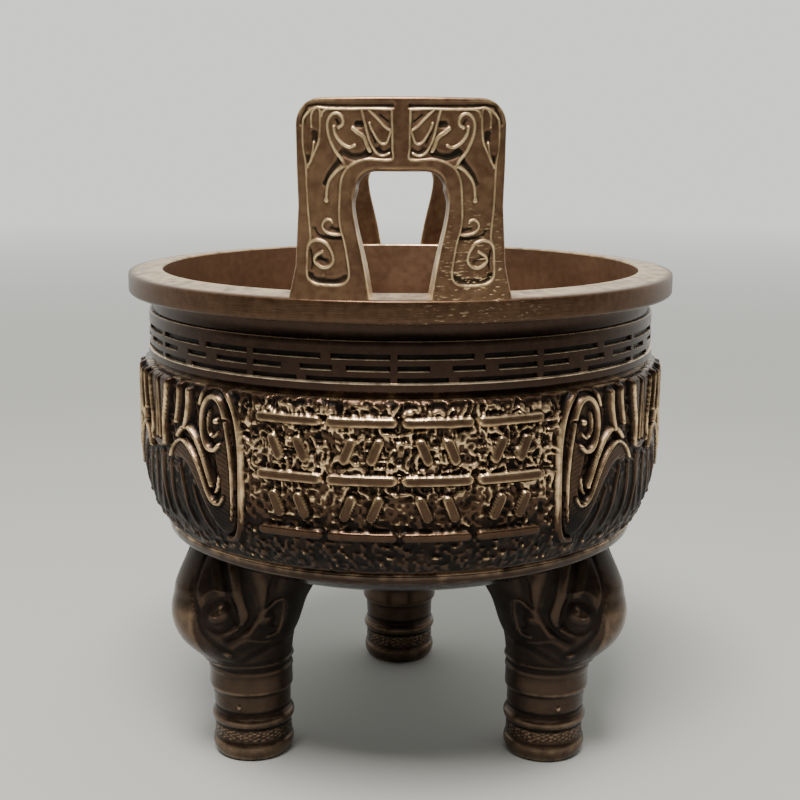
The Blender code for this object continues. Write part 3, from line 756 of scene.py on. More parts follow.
@dataclass
class RimAndLining:
    """The flat rim with its rounded edges, the smooth inside of the bowl, and the foot below it."""

    form: VesselForm
    bronze: BronzeMaker
    steps: int = 240
    hidden: float = 0.0008
    floor_steps: int = 34
    underside_steps: int = 26
    ripple: float = 0.00010

    def rim(self) -> bpy.types.Object:
        """The rim: brushed on top and painted lighter there as a highlight, with a softly rounded lower edge.
        """
        f = self.form
        e = f.rim_edge
        profile: list[Pair] = [(f.mouth_radius + 0.00004, f.rim_top - 2.5 * e)]
        round_corner(profile, (f.mouth_radius + 0.6 * e, f.rim_top - 0.6 * e), 0.6 * e, 180, 92, 4)
        for share in (0.25, 0.5, 0.75):
            profile.append((f.mouth_radius + share * f.rim_width, f.rim_top - share * f.rim_fall))
        round_corner(profile, (f.rim_radius - 0.7 * e, f.rim_outer_top - 0.7 * e), 0.7 * e, 88, 0, 4)
        for share in (0.35, 0.65):
            profile.append((f.rim_radius, f.rim_outer_top - share * f.rim_thickness))
        round_corner(profile, (f.rim_radius - 1.3 * e, f.rim_foot + 1.3 * e), 1.3 * e, 0, -80, 5)
        profile.append((f.recess_radius + 0.4 * f.recess_depth, f.rim_foot))
        profile.append((f.recess_radius - 0.5 * self.hidden, f.rim_foot - 0.3 * self.hidden))
        profile.append((f.mouth_radius + self.hidden, f.rim_foot))
        profile.append((f.mouth_radius + self.hidden, f.rim_top - 2.5 * e))
        mesh = turned_mesh("bowl_rim", profile, self.steps)
        points = mesh_points(mesh)
        # Painted highlight, with wear: the inner part of the rim's top is lightened towards the worn colour.
        inwards = soft_step(f.rim_radius - polar(points)[1], 0.0002, 0.0012)
        mark_wear_and_painted_light(mesh, 0.62 * inwards * soft_step(points[:, 2], f.rim_outer_top - 0.0002, f.rim_outer_top))
        return finish_piece("bowl_rim", mesh, self.bronze.materials[Zone.RIM], 50.0, 0.32)

    def lining(self) -> bpy.types.Object:
        """The inside of the bowl, smooth down to its rounded floor."""
        f = self.form
        floor = f.leg_height + f.floor
        profile: list[Pair] = []
        top = f.rim_top - 0.6 * f.rim_edge
        for k in range(7):
            profile.append((f.mouth_radius, top + (f.recess_foot - top) * k / 6))
        elbow = f.belly_top - 0.1 * f.belly_height
        for k in range(1, 9):
            share = k / 8
            ease = share * share * (3.0 - 2.0 * share)
            radius = f.mouth_radius + (f.inside_radius - f.mouth_radius) * ease
            profile.append((radius, f.recess_foot + (elbow - f.recess_foot) * share))
        for k in range(self.floor_steps):
            turn = math.pi / 2 * k / self.floor_steps
            drop = f.cavity_corner * (1.0 - math.sin(turn) ** (2 / 3))
            profile.append((f.inside_radius * math.cos(turn) ** (2 / 3), floor + drop))
        profile.append((0.0, floor))
        back = [(0.0, floor - self.hidden)]
        for radius, z in reversed(profile[1:-1:2]):
            share = min(1.0, radius / f.inside_radius)
            back.append((radius + 0.6 * self.hidden * share, z - self.hidden * (1.0 - share ** 4)))
        mesh = turned_mesh("bowl_lining", profile + back, self.steps)
        return finish_piece("bowl_lining", mesh, self.bronze.materials[Zone.LINING], 50.0, 0.5)

    def foot(self) -> bpy.types.Object:
        """The ridge under the belly, a little uneven from hand work, and the dished underside."""
        f = self.form
        h = f.ridge_height
        groove = f.ridge_radius - f.ridge_groove
        profile: list[Pair] = [(groove - self.hidden, f.belly_foot + self.hidden), (groove, f.belly_foot)]
        round_corner(profile, (f.ridge_radius - 0.28 * h, f.belly_foot - 0.28 * h), 0.28 * h, 100, 0, 5)
        profile.append((f.ridge_radius - 0.02 * h, f.belly_foot - 0.45 * h))
        round_corner(profile, (f.ridge_radius - 0.45 * h, f.belly_foot - 0.62 * h), 0.38 * h, -5, -60, 4)
        for k in range(self.underside_steps + 1):
            radius = f.underside_radius * (1.0 - k / self.underside_steps)
            profile.append((radius, f.underside_at(radius)))
        profile.append((0.0, f.leg_height + 2 * self.hidden))
        for share in (0.3, 0.6, 0.8, 0.92):
            radius = share * f.underside_radius
            profile.append((radius, f.underside_at(radius) + 2 * self.hidden))
        mesh = turned_mesh("bowl_foot", profile, 2 * self.steps)
        points = mesh_points(mesh)
        angle, radius = polar(points)
        place = angle * f.ridge_radius
        wave = cell_noise(place, points[:, 2], 2 * math.pi * f.ridge_radius / 72, 3, 72) - 0.5
        wave += 0.6 * (cell_noise(place, points[:, 2], 2 * math.pi * f.ridge_radius / 200, 4, 200) - 0.5)
        on_ridge = soft_step(points[:, 2], f.ridge_foot, f.ridge_foot + 0.3 * h)
        on_ridge *= soft_step(radius, groove - 0.0002, groove + 0.0003)
        radius += self.ripple * 1.6 * wave * on_ridge
        points[:, 2] += self.ripple * 1.2 * wave * on_ridge
        move_points(mesh, to_place(angle, radius, points[:, 2]))
        # Painted highlight, with wear: a bright strip along the ridge's top edge, broken up by the wave.
        highlit_top_edge = np.exp(-((points[:, 2] - f.belly_foot + 0.00012) / 0.00020) ** 2)
        mark_wear_and_painted_light(mesh, 0.9 * highlit_top_edge * soft_step(wave, -0.25, 0.35))
        return finish_piece("bowl_foot", mesh, self.bronze.materials[Zone.FOOT], 50.0, 0.30)

    def build(self) -> None:
        """Builds the three turned pieces."""
        self.rim()
        self.lining()
        self.foot()


@dataclass
class NeckBand:
    """The band under the rim: a recess, two plain rings and the meander between them."""

    form: VesselForm
    bronze: BronzeMaker
    units: int = 12
    columns_per_unit: int = 90
    depth: float = 0.00055
    ledge: float = 0.00022
    row_step: float = 0.00007
    turn: float = -1.2
    margin: float = 0.00003
    top_slots: tuple[Pair, ...] = ((0.9, 15.6), (17.8, 29.1))
    middle_slots: tuple[Pair, ...] = ((0.9, 7.0), (11.5, 17.8), (21.0, 29.1))
    bottom_slots: tuple[Pair, ...] = ((0.9, 10.6), (12.8, 29.1))

    def slot_rows(self) -> list[tuple[float, float, tuple[Pair, ...]]]:
        """Lower and upper edge of each row of slots, as heights, with the slots in it."""
        f = self.form
        foot, tall = f.meander_foot, f.meander_height
        return [
            (foot + 0.815 * tall, foot + 0.99 * tall, self.top_slots),
            (foot + 0.415 * tall, foot + 0.59 * tall, self.middle_slots),
            (foot + 0.01 * tall, foot + 0.185 * tall, self.bottom_slots),
        ]

    def profile(self) -> list[Pair]:
        """The band's section, with a row on each side of every slot's edge."""
        f = self.form
        hidden = f.mouth_radius + 0.0012
        step = self.row_step
        r, deep = f.neck_radius, f.recess_radius
        points: list[Pair] = [(hidden, f.rim_foot + 0.0003), (deep + 0.0003, f.rim_foot + 0.0003)]
        points += [(deep + 0.0003, f.rim_foot), (deep, f.rim_foot - 0.0004)]
        points += [(deep, f.recess_foot + 0.0004), (deep + 0.0001, f.recess_foot + 0.00008)]
        round_corner(points, (r - 0.00022, f.recess_foot - 0.00022), 0.00022, 90, 0, 3)
        points += [(r, f.recess_foot - 0.5 * f.upper_ring_height)]
        for low, high, _ in self.slot_rows():
            points += [(r, high + step), (r, high), (r, high - step), (r, 0.5 * (low + high))]
            points += [(r, low + step), (r, low - 1.5 * step), (r, low - 2.5 * step)]
        points += [(r, f.meander_foot + 0.00002), (r + self.ledge, f.meander_foot - 0.00008)]
        points += [(r + self.ledge, f.meander_foot - 0.00030)]
        round_corner(points, (r + self.ledge - 0.00030, f.ring_foot + 0.00030), 0.00030, 0, -90, 4)
        points += [(deep + 0.0001, f.ring_foot), (deep, f.ring_foot - 0.0002)]
        points += [(deep, f.belly_top - 0.0003), (hidden, f.belly_top - 0.0003)]
        return points

    def cut_slots(self, points: Array) -> Array:
        """Sinks the slots of the meander, and gives -1 inside them for painted shade and 1 on their lower
        ledges for a painted highlight.
        """
        angle, radius = polar(points)
        place = np.mod(np.degrees(angle) - self.turn, 360.0 / self.units)
        z = points[:, 2]
        outside = radius > self.form.recess_radius + 0.3 * self.form.recess_depth
        marks = np.zeros(len(z))
        for low, high, slots in self.slot_rows():
            row = outside & (z < high - self.margin) & (z > low + self.margin)
            ledge = outside & (np.abs(z - low + 1.5 * self.row_step) < 0.00002)
            for start, end in slots:
                inside = (place > start) & (place < end)
                radius[row & inside] -= self.depth
                marks[row & inside] = -1.0
                marks[ledge & inside] = 1.0
        points[:] = to_place(angle, radius, z)
        return marks

    def build(self) -> None:
        """Builds the band."""
        mesh = turned_mesh("bowl_neck", self.profile(), self.units * self.columns_per_unit, self.turn)
        points = mesh_points(mesh)
        marks = self.cut_slots(points)
        move_points(mesh, points)
        f = self.form
        # Painted highlights: bright lines along the top edges of the two plain rings, on top of the painted
        # shade in the slots and the painted highlights on their ledges.
        lines = [(f.meander_foot - 0.00004, 0.9), (f.recess_foot - 0.00005, 0.45)]
        lit = [height * np.exp(-((points[:, 2] - level) / 0.00010) ** 2) for level, height in lines]
        mark_wear_and_painted_light(mesh, 0.8 * marks + np.maximum(*lit))
        finish_piece("bowl_neck", mesh, self.bronze.materials[Zone.NECK], 40.0, 1.6)


@dataclass
class BellyCarving:
    """The carved belly: three masks, rows of strokes on the front, and worm-like ground between."""

    form: VesselForm
    bronze: BronzeMaker
    mask_angles: tuple[float, ...] = (-60.0, 60.0, 180.0)
    mask_half_width: float = 0.0241
    mask_height: float = 0.0271
    mask_lift: float = 0.0047
    stroke_width: float = 0.0014
    group_width: float = 0.0102
    group_height: float = 0.0212
    group_pitch: float = 0.0127
    groups: int = 4
    rows_in_group: int = 5
    slant: float = 0.0012
    bar_edge: float = 0.00022
    bar_crown: float = 0.04
    ground: float = 0.00080
    front_grid: tuple[int, int] = (760, 124)
    back_grid: tuple[int, int] = (560, 92)

    def mask_strokes(self) -> list[Stroke | Patch]:
        """One half of a mask, from its nose to its border, placed as shares of its half width and height."""
        raised = self.form.belly_relief
        nose = ((-0.2, 1.01), (0.175, 1.01), (0.15, 0.83), (0.115, 0.68), (0.125, 0.55), (0.09, 0.49),
                (-0.2, 0.49))
        plate = ((0.225, 0.47), (0.28, 0.56), (0.37, 0.605), (0.45, 0.59), (0.53, 0.53), (0.60, 0.44),
                 (0.655, 0.345), (0.70, 0.275), (0.76, 0.25), (0.80, 0.30), (0.785, 0.40), (0.75, 0.50),
                 (0.76, 0.57), (0.83, 0.64), (0.89, 0.66), (0.935, 0.56), (0.955, 0.40), (0.950, 0.20),
                 (0.91, 0.04), (0.815, 0.01), (0.734, 0.052), (0.660, 0.13), (0.597, 0.215), (0.520, 0.325),
                 (0.435, 0.41), (0.34, 0.45), (0.27, 0.42))
        eye = ((0.66, 0.66), (0.65, 0.76), (0.69, 0.87), (0.75, 0.89), (0.81, 0.85), (0.84, 0.75),
               (0.82, 0.64), (0.75, 0.60))
        strokes: list[Stroke | Patch] = []
        for points, height, hatch in ((nose, 0.66, 0.04), (plate, 0.52, 0.05), (eye, 0.10, 0.0)):
            path = [self.mask_place(u, v) for u, v in points]
            strokes.append(Patch(path, height * raised, 0.0004, hatch * raised))
        rows: list[tuple[Sequence[Pair], float, float, float, Pair]] = [
            (((0.30, 0.40), (0.34, 0.27), (0.38, 0.13), (0.45, 0.02)), 0.60, 0.26, 0.8, (0.6, 1.0)),
            (((0.16, 0.40), (0.16, 0.25), (0.20, 0.10), (0.27, 0.02)), 0.75, 0.26, 0.8, (0.6, 1.0)),
            (((0.47, 0.28), (0.52, 0.17), (0.58, 0.07), (0.64, 0.00)), 0.45, 0.20, 0.8, (0.5, 1.0)),
            (((0.02, 0.44), (0.01, 0.28), (0.04, 0.13), (0.08, 0.02)), 0.70, 0.34, 0.8, (0.8, 0.8)),
            (((0.62, 0.86), (0.66, 0.945), (0.735, 0.987), (0.82, 0.983), (0.90, 0.935), (0.955, 0.84),
              (0.985, 0.72), (1.0, 0.573), (1.0, 0.409), (0.993, 0.242), (0.975, 0.10), (0.92, 0.0),
              (0.84, -0.02)), 0.66, 1.0, 0.45, (0.6, 0.9)),
            (((0.80, 0.605), (0.753, 0.570), (0.690, 0.578), (0.648, 0.640), (0.632, 0.733), (0.652, 0.835),
              (0.700, 0.898), (0.757, 0.920), (0.815, 0.898), (0.855, 0.835), (0.878, 0.745),
              (0.897, 0.64)), 0.60, 1.05, 0.55, (0.85, 1.25)),
            (((0.872, 0.76), (0.896, 0.64), (0.912, 0.52), (0.922, 0.38), (0.918, 0.24), (0.90, 0.12)),
             0.55, 0.95, 0.7, (1.1, 0.4)),
            (((0.712, 0.822), (0.690, 0.75), (0.704, 0.683), (0.746, 0.656), (0.790, 0.685)), 0.28, 0.72,
             0.5, (0.7, 1.0)),
            (((0.330, 0.610), (0.395, 0.668), (0.470, 0.680), (0.539, 0.640), (0.592, 0.580),
              (0.640, 0.505), (0.680, 0.425), (0.719, 0.340)), 0.52, 1.15, 0.6, (1.0, 0.75)),
            (((0.20, 0.45), (0.245, 0.515), (0.305, 0.562), (0.375, 0.585), (0.444, 0.562),
              (0.519, 0.505), (0.588, 0.420), (0.641, 0.330), (0.680, 0.262), (0.730, 0.217),
              (0.790, 0.215), (0.832, 0.265)), 0.40, 0.98, 0.6, (0.8, 1.0)),
            (((0.178, 1.0), (0.152, 0.83), (0.113, 0.68), (0.120, 0.54)), 0.34, 1.1, 0.6, (1.0, 1.0)),
            (((0.00, 1.0), (0.02, 0.75), (0.03, 0.55)), 0.70, 0.85, 0.8, (1.0, 0.6)),
            (((0.350, 0.985), (0.352, 0.90), (0.333, 0.80), (0.300, 0.70)), 0.72, 0.95, 0.6, (1.1, 0.6)),
            (((0.480, 0.93), (0.477, 0.85), (0.456, 0.76), (0.424, 0.675)), 0.66, 1.1, 0.6, (1.1, 0.8)),
            (((0.80, 0.40), (0.785, 0.33), (0.76, 0.29)), 0.22, 0.9, 0.5, (1.0, 1.0)),
        ]
        for points, half, height, crown, taper in rows:
            path = [self.mask_place(u, v) for u, v in points]
            strokes.append(Stroke(path, half * MILLIMETRE, height * raised, 0.00030, crown, taper))
        for (u, v), radius in (((0.783, 0.762), 0.85), ((0.721, 0.332), 0.62), ((0.745, 0.217), 0.50),
                               ((0.112, 0.525), 0.70), ((0.310, 0.70), 0.45), ((0.357, 0.98), 0.55),
                               ((0.480, 0.925), 0.62), ((0.636, 0.515), 0.42)):
            strokes.append(bead(self.mask_place(u, v), radius * MILLIMETRE, 1.1 * raised))
        return strokes

    def mask_place(self, across: float, up: float) -> Pair:
        """A place on a mask, from shares of its half width and its height."""
        z = self.form.belly_foot + self.mask_lift + up * self.mask_height
        return across * self.mask_half_width, z

    def row_strokes(self) -> list[Stroke]:
        """Groups of rows of plain strokes: long level bars with rows of short slanted ones between."""
        f = self.form
        middle = f.belly_foot + self.mask_lift + 0.5 * self.mask_height - 0.02 * f.belly_height
        rows = self.rows_in_group
        half = 0.53 * self.stroke_width
        reach = 0.5 * self.group_width
        tall = 0.5 * (self.group_height / (rows - 1) - 1.7 * self.stroke_width)
        ends: list[tuple[Pair, Pair]] = []
        for group in range(self.groups):
            centre = (group - 0.5 * (self.groups - 1)) * self.group_pitch
            lean = self.slant if group % 2 else -self.slant
            for row in range(rows):
                z = middle + (row / (rows - 1) - 0.5) * (self.group_height - self.stroke_width)
                if row % 2 == 0:
                    ends.append(((centre - reach, z), (centre + reach, z)))
                    continue
                for share in (-0.45, 0.45):
                    x = centre + share * reach
                    ends.append(((x - 0.5 * lean, z - tall), (x + 0.5 * lean, z + tall)))
        return [Stroke(pair, half, f.belly_relief, self.bar_edge, self.bar_crown) for pair in ends]

    def worms(self, x: Array, z: Array) -> Array:
        """The ground's worm-like swirls: short raised strokes that run every way."""
        around = 2 * math.pi * self.form.belly_radius
        warp_x = 0.0011 * (cell_noise(x, z, around / 120, 11, 120) - 0.5)
        warp_z = 0.0011 * (cell_noise(x, z, around / 120, 12, 120) - 0.5)
        total = np.zeros(x.shape)
        for count, seed, share in ((250, 21, 0.62), (420, 22, 0.38)):
            value = cell_noise(x + warp_x, z + warp_z, around / count, seed, count)
            total += share * soft_step(1.0 - np.abs(2.0 * value - 1.0), 0.35, 0.95)
        return total

    def stipple(self, x: Array, z: Array) -> Array:
        """Finer pits for the lower ground."""
        around = 2 * math.pi * self.form.belly_radius
        return cell_noise(x, z, around / 480, 31, 480) * cell_noise(x, z, around / 300, 32, 300)

    def from_mask(self, angle: Array, centre: float) -> Array:
        """How far places lie from a mask's upright middle line, round the belly."""
        gap = np.abs(np.mod(angle - math.radians(centre) + math.pi, 2 * math.pi) - math.pi)
        return gap * self.form.belly_radius

    def in_masks(self, angle: Array, z: Array) -> Array:
        """1 inside a mask's field and 0 outside it."""
        inside = np.zeros(angle.shape)
        foot = self.form.belly_foot + self.mask_lift
        for centre in self.mask_angles:
            inside += soft_step(self.mask_half_width - self.from_mask(angle, centre), 0.0, 0.0006)
        return inside * soft_step(z, foot - 0.0015, foot)

    def relief(self, angle: Array, z: Array) -> Array:
        """Height of the carving over the belly's turned surface."""
        f = self.form
        x = angle * f.belly_radius
        foot = f.belly_foot + self.mask_lift
        masked = self.in_masks(angle, z)
        coarse = soft_step(z, foot + 0.10 * self.mask_height, foot + 0.55 * self.mask_height)
        strength = 0.75 + 0.25 * coarse
        ground = self.worms(x, z) * coarse + 1.5 * self.stipple(x, z) * (1.0 - coarse)
        relief = self.ground * strength * (ground - 0.30)
        relief -= (0.70 * relief + 0.00012) * masked
        for centre in self.mask_angles:
            away = self.from_mask(angle, centre)
            for stroke in self.mask_strokes():
                stroke.press(relief, away, z)
        for stroke in self.row_strokes():
            stroke.press(relief, x, z)
        ends = soft_step(z, f.belly_foot, f.belly_foot + 0.0012) * soft_step(f.belly_top - z, 0.0, 0.0006)
        return relief * ends

    def section(self, rows: int) -> list[Pair]:
        """The belly's section: its turned outside, and a hidden back inside the wall."""
        f = self.form
        foot = f.ridge_radius - f.ridge_groove
        points: list[Pair] = [(f.inside_radius + 0.0009, f.belly_top)]
        for k in range(rows + 1):
            z = f.belly_top - f.belly_height * k / rows
            points.append((f.belly_at(z), z))
        points += [(foot - 0.0003, f.belly_foot - 0.0001), (foot - 0.0020, f.belly_foot + 0.0010)]
        points.append((f.inside_radius + 0.0009, f.belly_foot + 0.016))
        return points

    def build_half(self, name: str, start: float, columns: int, rows: int) -> None:
        """Builds half of the belly.

        Args:
            name: The piece's name.
            start: Angle of its first edge from the front, in degrees.
            columns: Upright columns in the half.
            rows: Rows from its top to its foot.
        """
        mesh = turned_mesh(name, self.section(rows), columns, start, 180.0)
        points = mesh_points(mesh)
        angle, radius = polar(points)
        z = points[:, 2]
        ground = np.array([self.form.belly_at(float(level)) for level in z])
        outside = (radius > ground - 0.0002) & (z > self.form.belly_foot - 1e-6)
        relief = np.zeros(len(z))
        relief[outside] = self.relief(angle[outside], z[outside])
        radius += relief
        move_points(mesh, to_place(angle, radius, z))
        masked = self.in_masks(angle, z)
        # Colour marks: raised ground lightened for wear and a painted highlight; in the masks the tallest
        # ribs lightened and the lower field darkened; sunk places darkened.
        worn_and_highlight = 0.50 * soft_step(relief, 0.00015, 0.00055) * (1.0 - soft_step(relief, 0.0009, 0.00105))
        ribs = 0.25 * soft_step(relief, 0.00080, 0.00120) - 0.25 * (1.0 - soft_step(relief, 0.0005, 0.0009))
        # Painted shade: the lowest part of the belly is darkened.
        low = 1.0 - soft_step(z, self.form.belly_foot + 0.005, self.form.belly_foot + 0.015)
        level = worn_and_highlight * (1.0 - masked) + ribs * masked + np.minimum(relief, 0.0) / 0.00028 - 0.60 * low
        # Painted shadow: a dark band along the top of the belly under the neck's undercut.
        mark_wear_and_painted_light(mesh, level - soft_step(z, self.form.belly_top - 0.0016, self.form.belly_top - 0.0004))
        finish_piece(name, mesh, self.bronze.materials[Zone.BELLY], 75.0, 0.42)

    def build(self) -> None:
        """Builds both halves, the front one finer."""
        self.build_half("belly_front", -90.0, *self.front_grid)
        self.build_half("belly_back", 90.0, *self.back_grid)


@dataclass
class Ear:
    """One upright ear with its opening, carved on its outer face."""

    form: VesselForm
    bronze: BronzeMaker
    name: str
    angle: float
    half_width: float = 0.0171
    waist: float = 0.0003
    foot_flare: float = 0.0015
    corner: float = 0.0040
    setback: float = 0.00015
    root: float = 0.0012
    opening_half_top: float = 0.0072
    opening_half_middle: float = 0.0077
    opening_half_foot: float = 0.0051
    opening_corner: float = 0.0032
    top_bar: float = 0.0112
    draft: float = 0.0006
    panel_depth: float = 0.00026
    edge_round: float = 0.00045
    crown: float = 0.00025
    along: int = 500
    across: int = 84

    def outline(self, count: int) -> Array:
        """Outside of the ear from its left foot over the top to its right foot, evenly spaced."""
        f = self.form
        top = f.ear_top - self.crown
        wide = self.half_width
        points = [(-wide - self.foot_flare, f.rim_outer_top - self.root)]
        points += [(-wide - self.foot_flare, f.rim_top), (-wide - 0.72 * self.foot_flare, f.rim_top + 0.0015)]
        points += [(-wide - 0.20 * self.foot_flare, f.rim_top + 0.0048), (-wide, f.rim_top + 0.0095)]
        points += [(-wide + self.waist, f.rim_top + 0.0145), (-wide + 0.3 * self.waist, f.rim_top + 0.021)]
        centre = (-self.half_width + self.corner, top - self.corner)
        round_corner(points, centre, self.corner, 180, 90, 8)
        path = np.array(points + [(-x, z) for x, z in reversed(points)])
        return self.spaced(path, count)

    def opening(self, count: int) -> Array:
        """Edge of the opening from its left foot over the top to its right foot, evenly spaced."""
        f = self.form
        top = f.ear_top - self.top_bar
        tall = top - f.rim_top
        foot, middle = self.opening_half_foot, self.opening_half_middle
        left: list[Pair] = []
        for level, wider in ((0.0, 0.0), (0.2, 0.25), (0.38, 0.53), (0.52, 0.77), (0.65, 0.95), (0.75, 1.0)):
            left.append((-foot - wider * (middle - foot), f.rim_top + level * tall))
        round_corner(left, (-self.opening_half_top + self.opening_corner, top - self.opening_corner),
                     self.opening_corner, 180, 90, 6)
        points = [(-foot, f.rim_outer_top - self.root), *map(tuple, smooth_path(left, 4))]
        path = np.array(points + [(-x, z) for x, z in reversed(points)])
        return self.spaced(path, count)

    @staticmethod
    def spaced(path: Array, count: int) -> Array:
        """Evenly spaced points along a line."""
        steps = np.linalg.norm(np.diff(path, axis=0), axis=1)
        length = np.concatenate([[0.0], np.cumsum(steps)])
        at = np.linspace(0.0, length[-1], count)
        return np.stack([np.interp(at, length, path[:, k]) for k in range(2)], 1)

    def panel(self) -> list[Pair]:
        """Edge of the recessed field on one half of the face, as shares of its half width and height."""
        return [
            (0.085, 0.937), (0.26, 0.940), (0.445, 0.938), (0.685, 0.940), (0.776, 0.946), (0.845, 0.932),
            (0.908, 0.900), (0.923, 0.860), (0.922, 0.751), (0.896, 0.664), (0.888, 0.533), (0.875, 0.423),
            (0.862, 0.351), (0.858, 0.292), (0.885, 0.252), (0.893, 0.183), (0.896, 0.121), (0.879, 0.087),
            (0.828, 0.065), (0.755, 0.058), (0.600, 0.058), (0.529, 0.069), (0.491, 0.096), (0.484, 0.132),
            (0.494, 0.176), (0.527, 0.278), (0.560, 0.340), (0.575, 0.402), (0.573, 0.480), (0.560, 0.576),
            (0.534, 0.620), (0.498, 0.649), (0.445, 0.669), (0.374, 0.685), (0.297, 0.693), (0.089, 0.691),
            (0.079, 0.751), (0.081, 0.853),
        ]

    def strokes(self) -> list[Stroke | Patch]:
        """The carving of one half of the face, as shares of its half width and height."""
        thin, fat = 0.00009, 0.00014
        pits: list[tuple[Sequence[Pair], float, float]] = [
            (((0.93, 0.87), (0.90, 0.930), (0.84, 0.957), (0.544, 0.955), (0.085, 0.955)), 0.26, 0.34),
            (((0.535, 0.728), (0.459, 0.709), (0.374, 0.709), (0.304, 0.725)), 0.55, 0.42),
            (((0.570, 0.688), (0.625, 0.652), (0.672, 0.616), (0.705, 0.575)), 0.40, 0.38),
            (((0.402, 0.867), (0.374, 0.865)), 0.45, 0.42),
            (((0.205, 0.744), (0.166, 0.728), (0.113, 0.733)), 0.42, 0.34),
            (((0.813, 0.820), (0.809, 0.789)), 0.45, 0.40),
            (((0.878, 0.704), (0.875, 0.672)), 0.32, 0.32),
            (((0.815, 0.345), (0.769, 0.311), (0.656, 0.298), (0.572, 0.297)), 0.34, 0.32),
            (((0.858, 0.110), (0.835, 0.090), (0.755, 0.080), (0.614, 0.078), (0.527, 0.096)), 0.44, 0.42),
            (((0.649, 0.349), (0.597, 0.340)), 0.36, 0.34),
            (((0.762, 0.194), (0.706, 0.183)), 0.42, 0.34),
            (((0.855, 0.235), (0.842, 0.18), (0.85, 0.14)), 0.40, 0.24),
            (((0.191, 0.911), (0.120, 0.878)), 0.34, 0.26),
            (((0.27, 0.82), (0.235, 0.775)), 0.30, 0.24),
            (((0.585, 0.870), (0.60, 0.885)), 0.30, 0.30),
        ]
        ribs: list[tuple[Sequence[Pair], float]] = [
            (((0.741, 0.904), (0.727, 0.926), (0.687, 0.939)), thin),
            (((0.579, 0.847), (0.546, 0.860), (0.536, 0.882), (0.555, 0.905), (0.600, 0.918),
              (0.645, 0.910), (0.676, 0.886), (0.685, 0.857), (0.676, 0.817), (0.649, 0.773),
              (0.607, 0.729), (0.565, 0.700), (0.532, 0.675), (0.510, 0.650)), fat),
            (((0.625, 0.851), (0.611, 0.817), (0.579, 0.787), (0.532, 0.763), (0.476, 0.750),
              (0.428, 0.760)), fat),
            (((0.445, 0.844), (0.402, 0.824), (0.353, 0.806), (0.328, 0.787), (0.311, 0.760),
              (0.287, 0.733)), 1.5 * fat),
            (((0.363, 0.935), (0.346, 0.900), (0.330, 0.865), (0.301, 0.802), (0.264, 0.755),
              (0.222, 0.723), (0.170, 0.709), (0.109, 0.722)), thin),
            (((0.297, 0.934), (0.254, 0.911), (0.198, 0.881), (0.146, 0.851), (0.095, 0.832)), thin),
            (((0.290, 0.869), (0.273, 0.844), (0.240, 0.811), (0.205, 0.782), (0.168, 0.767),
              (0.134, 0.774), (0.112, 0.802), (0.095, 0.830)), thin),
            (((0.520, 0.660), (0.589, 0.638), (0.635, 0.613), (0.668, 0.589), (0.687, 0.560),
              (0.694, 0.529), (0.699, 0.492)), fat),
            (((0.837, 0.851), (0.840, 0.904), (0.821, 0.932), (0.776, 0.945), (0.755, 0.927),
              (0.754, 0.886), (0.757, 0.831), (0.769, 0.780), (0.804, 0.736), (0.840, 0.693),
              (0.880, 0.652)), thin),
            (((0.817, 0.773), (0.821, 0.747), (0.833, 0.715), (0.848, 0.684)), thin),
            (((0.642, 0.376), (0.659, 0.387), (0.694, 0.391), (0.727, 0.380), (0.738, 0.360),
              (0.724, 0.340), (0.692, 0.324), (0.642, 0.315), (0.593, 0.314), (0.553, 0.320)), thin),
            (((0.885, 0.254), (0.854, 0.276), (0.804, 0.285), (0.755, 0.283), (0.706, 0.269),
              (0.668, 0.245), (0.642, 0.216), (0.635, 0.189), (0.656, 0.163), (0.699, 0.148),
              (0.748, 0.148), (0.795, 0.163), (0.821, 0.183), (0.809, 0.205), (0.772, 0.220),
              (0.741, 0.229)), fat),
            ([*self.panel(), self.panel()[0]], thin),
        ]
        strokes: list[Stroke | Patch] = [
            Patch([self.place(u, v) for u, v in self.panel()], -0.45 * self.panel_depth, 0.0003)]
        strokes += [Stroke([self.place(u, v) for u, v in points], 0.6 * MILLIMETRE * half, -MILLIMETRE * deep,
                       0.00062, 0.3)
                    for points, half, deep in pits]
        strokes += [Stroke([self.place(u, v) for u, v in points], half, 0.00008, 0.00019, 0.4)
                    for points, half in ribs]
        strokes.append(bead(self.place(0.699, 0.487), 0.00050, 0.00016))
        strokes.append(bead(self.place(0.734, 0.109), 0.00040, 0.0))
        return strokes

    def place(self, across: float, up: float) -> Pair:
        """A place on the face, from shares of its half width and of its height over the rim."""
        rim = self.form.rim_top
        return across * self.half_width, rim + up * (self.form.ear_top - rim)

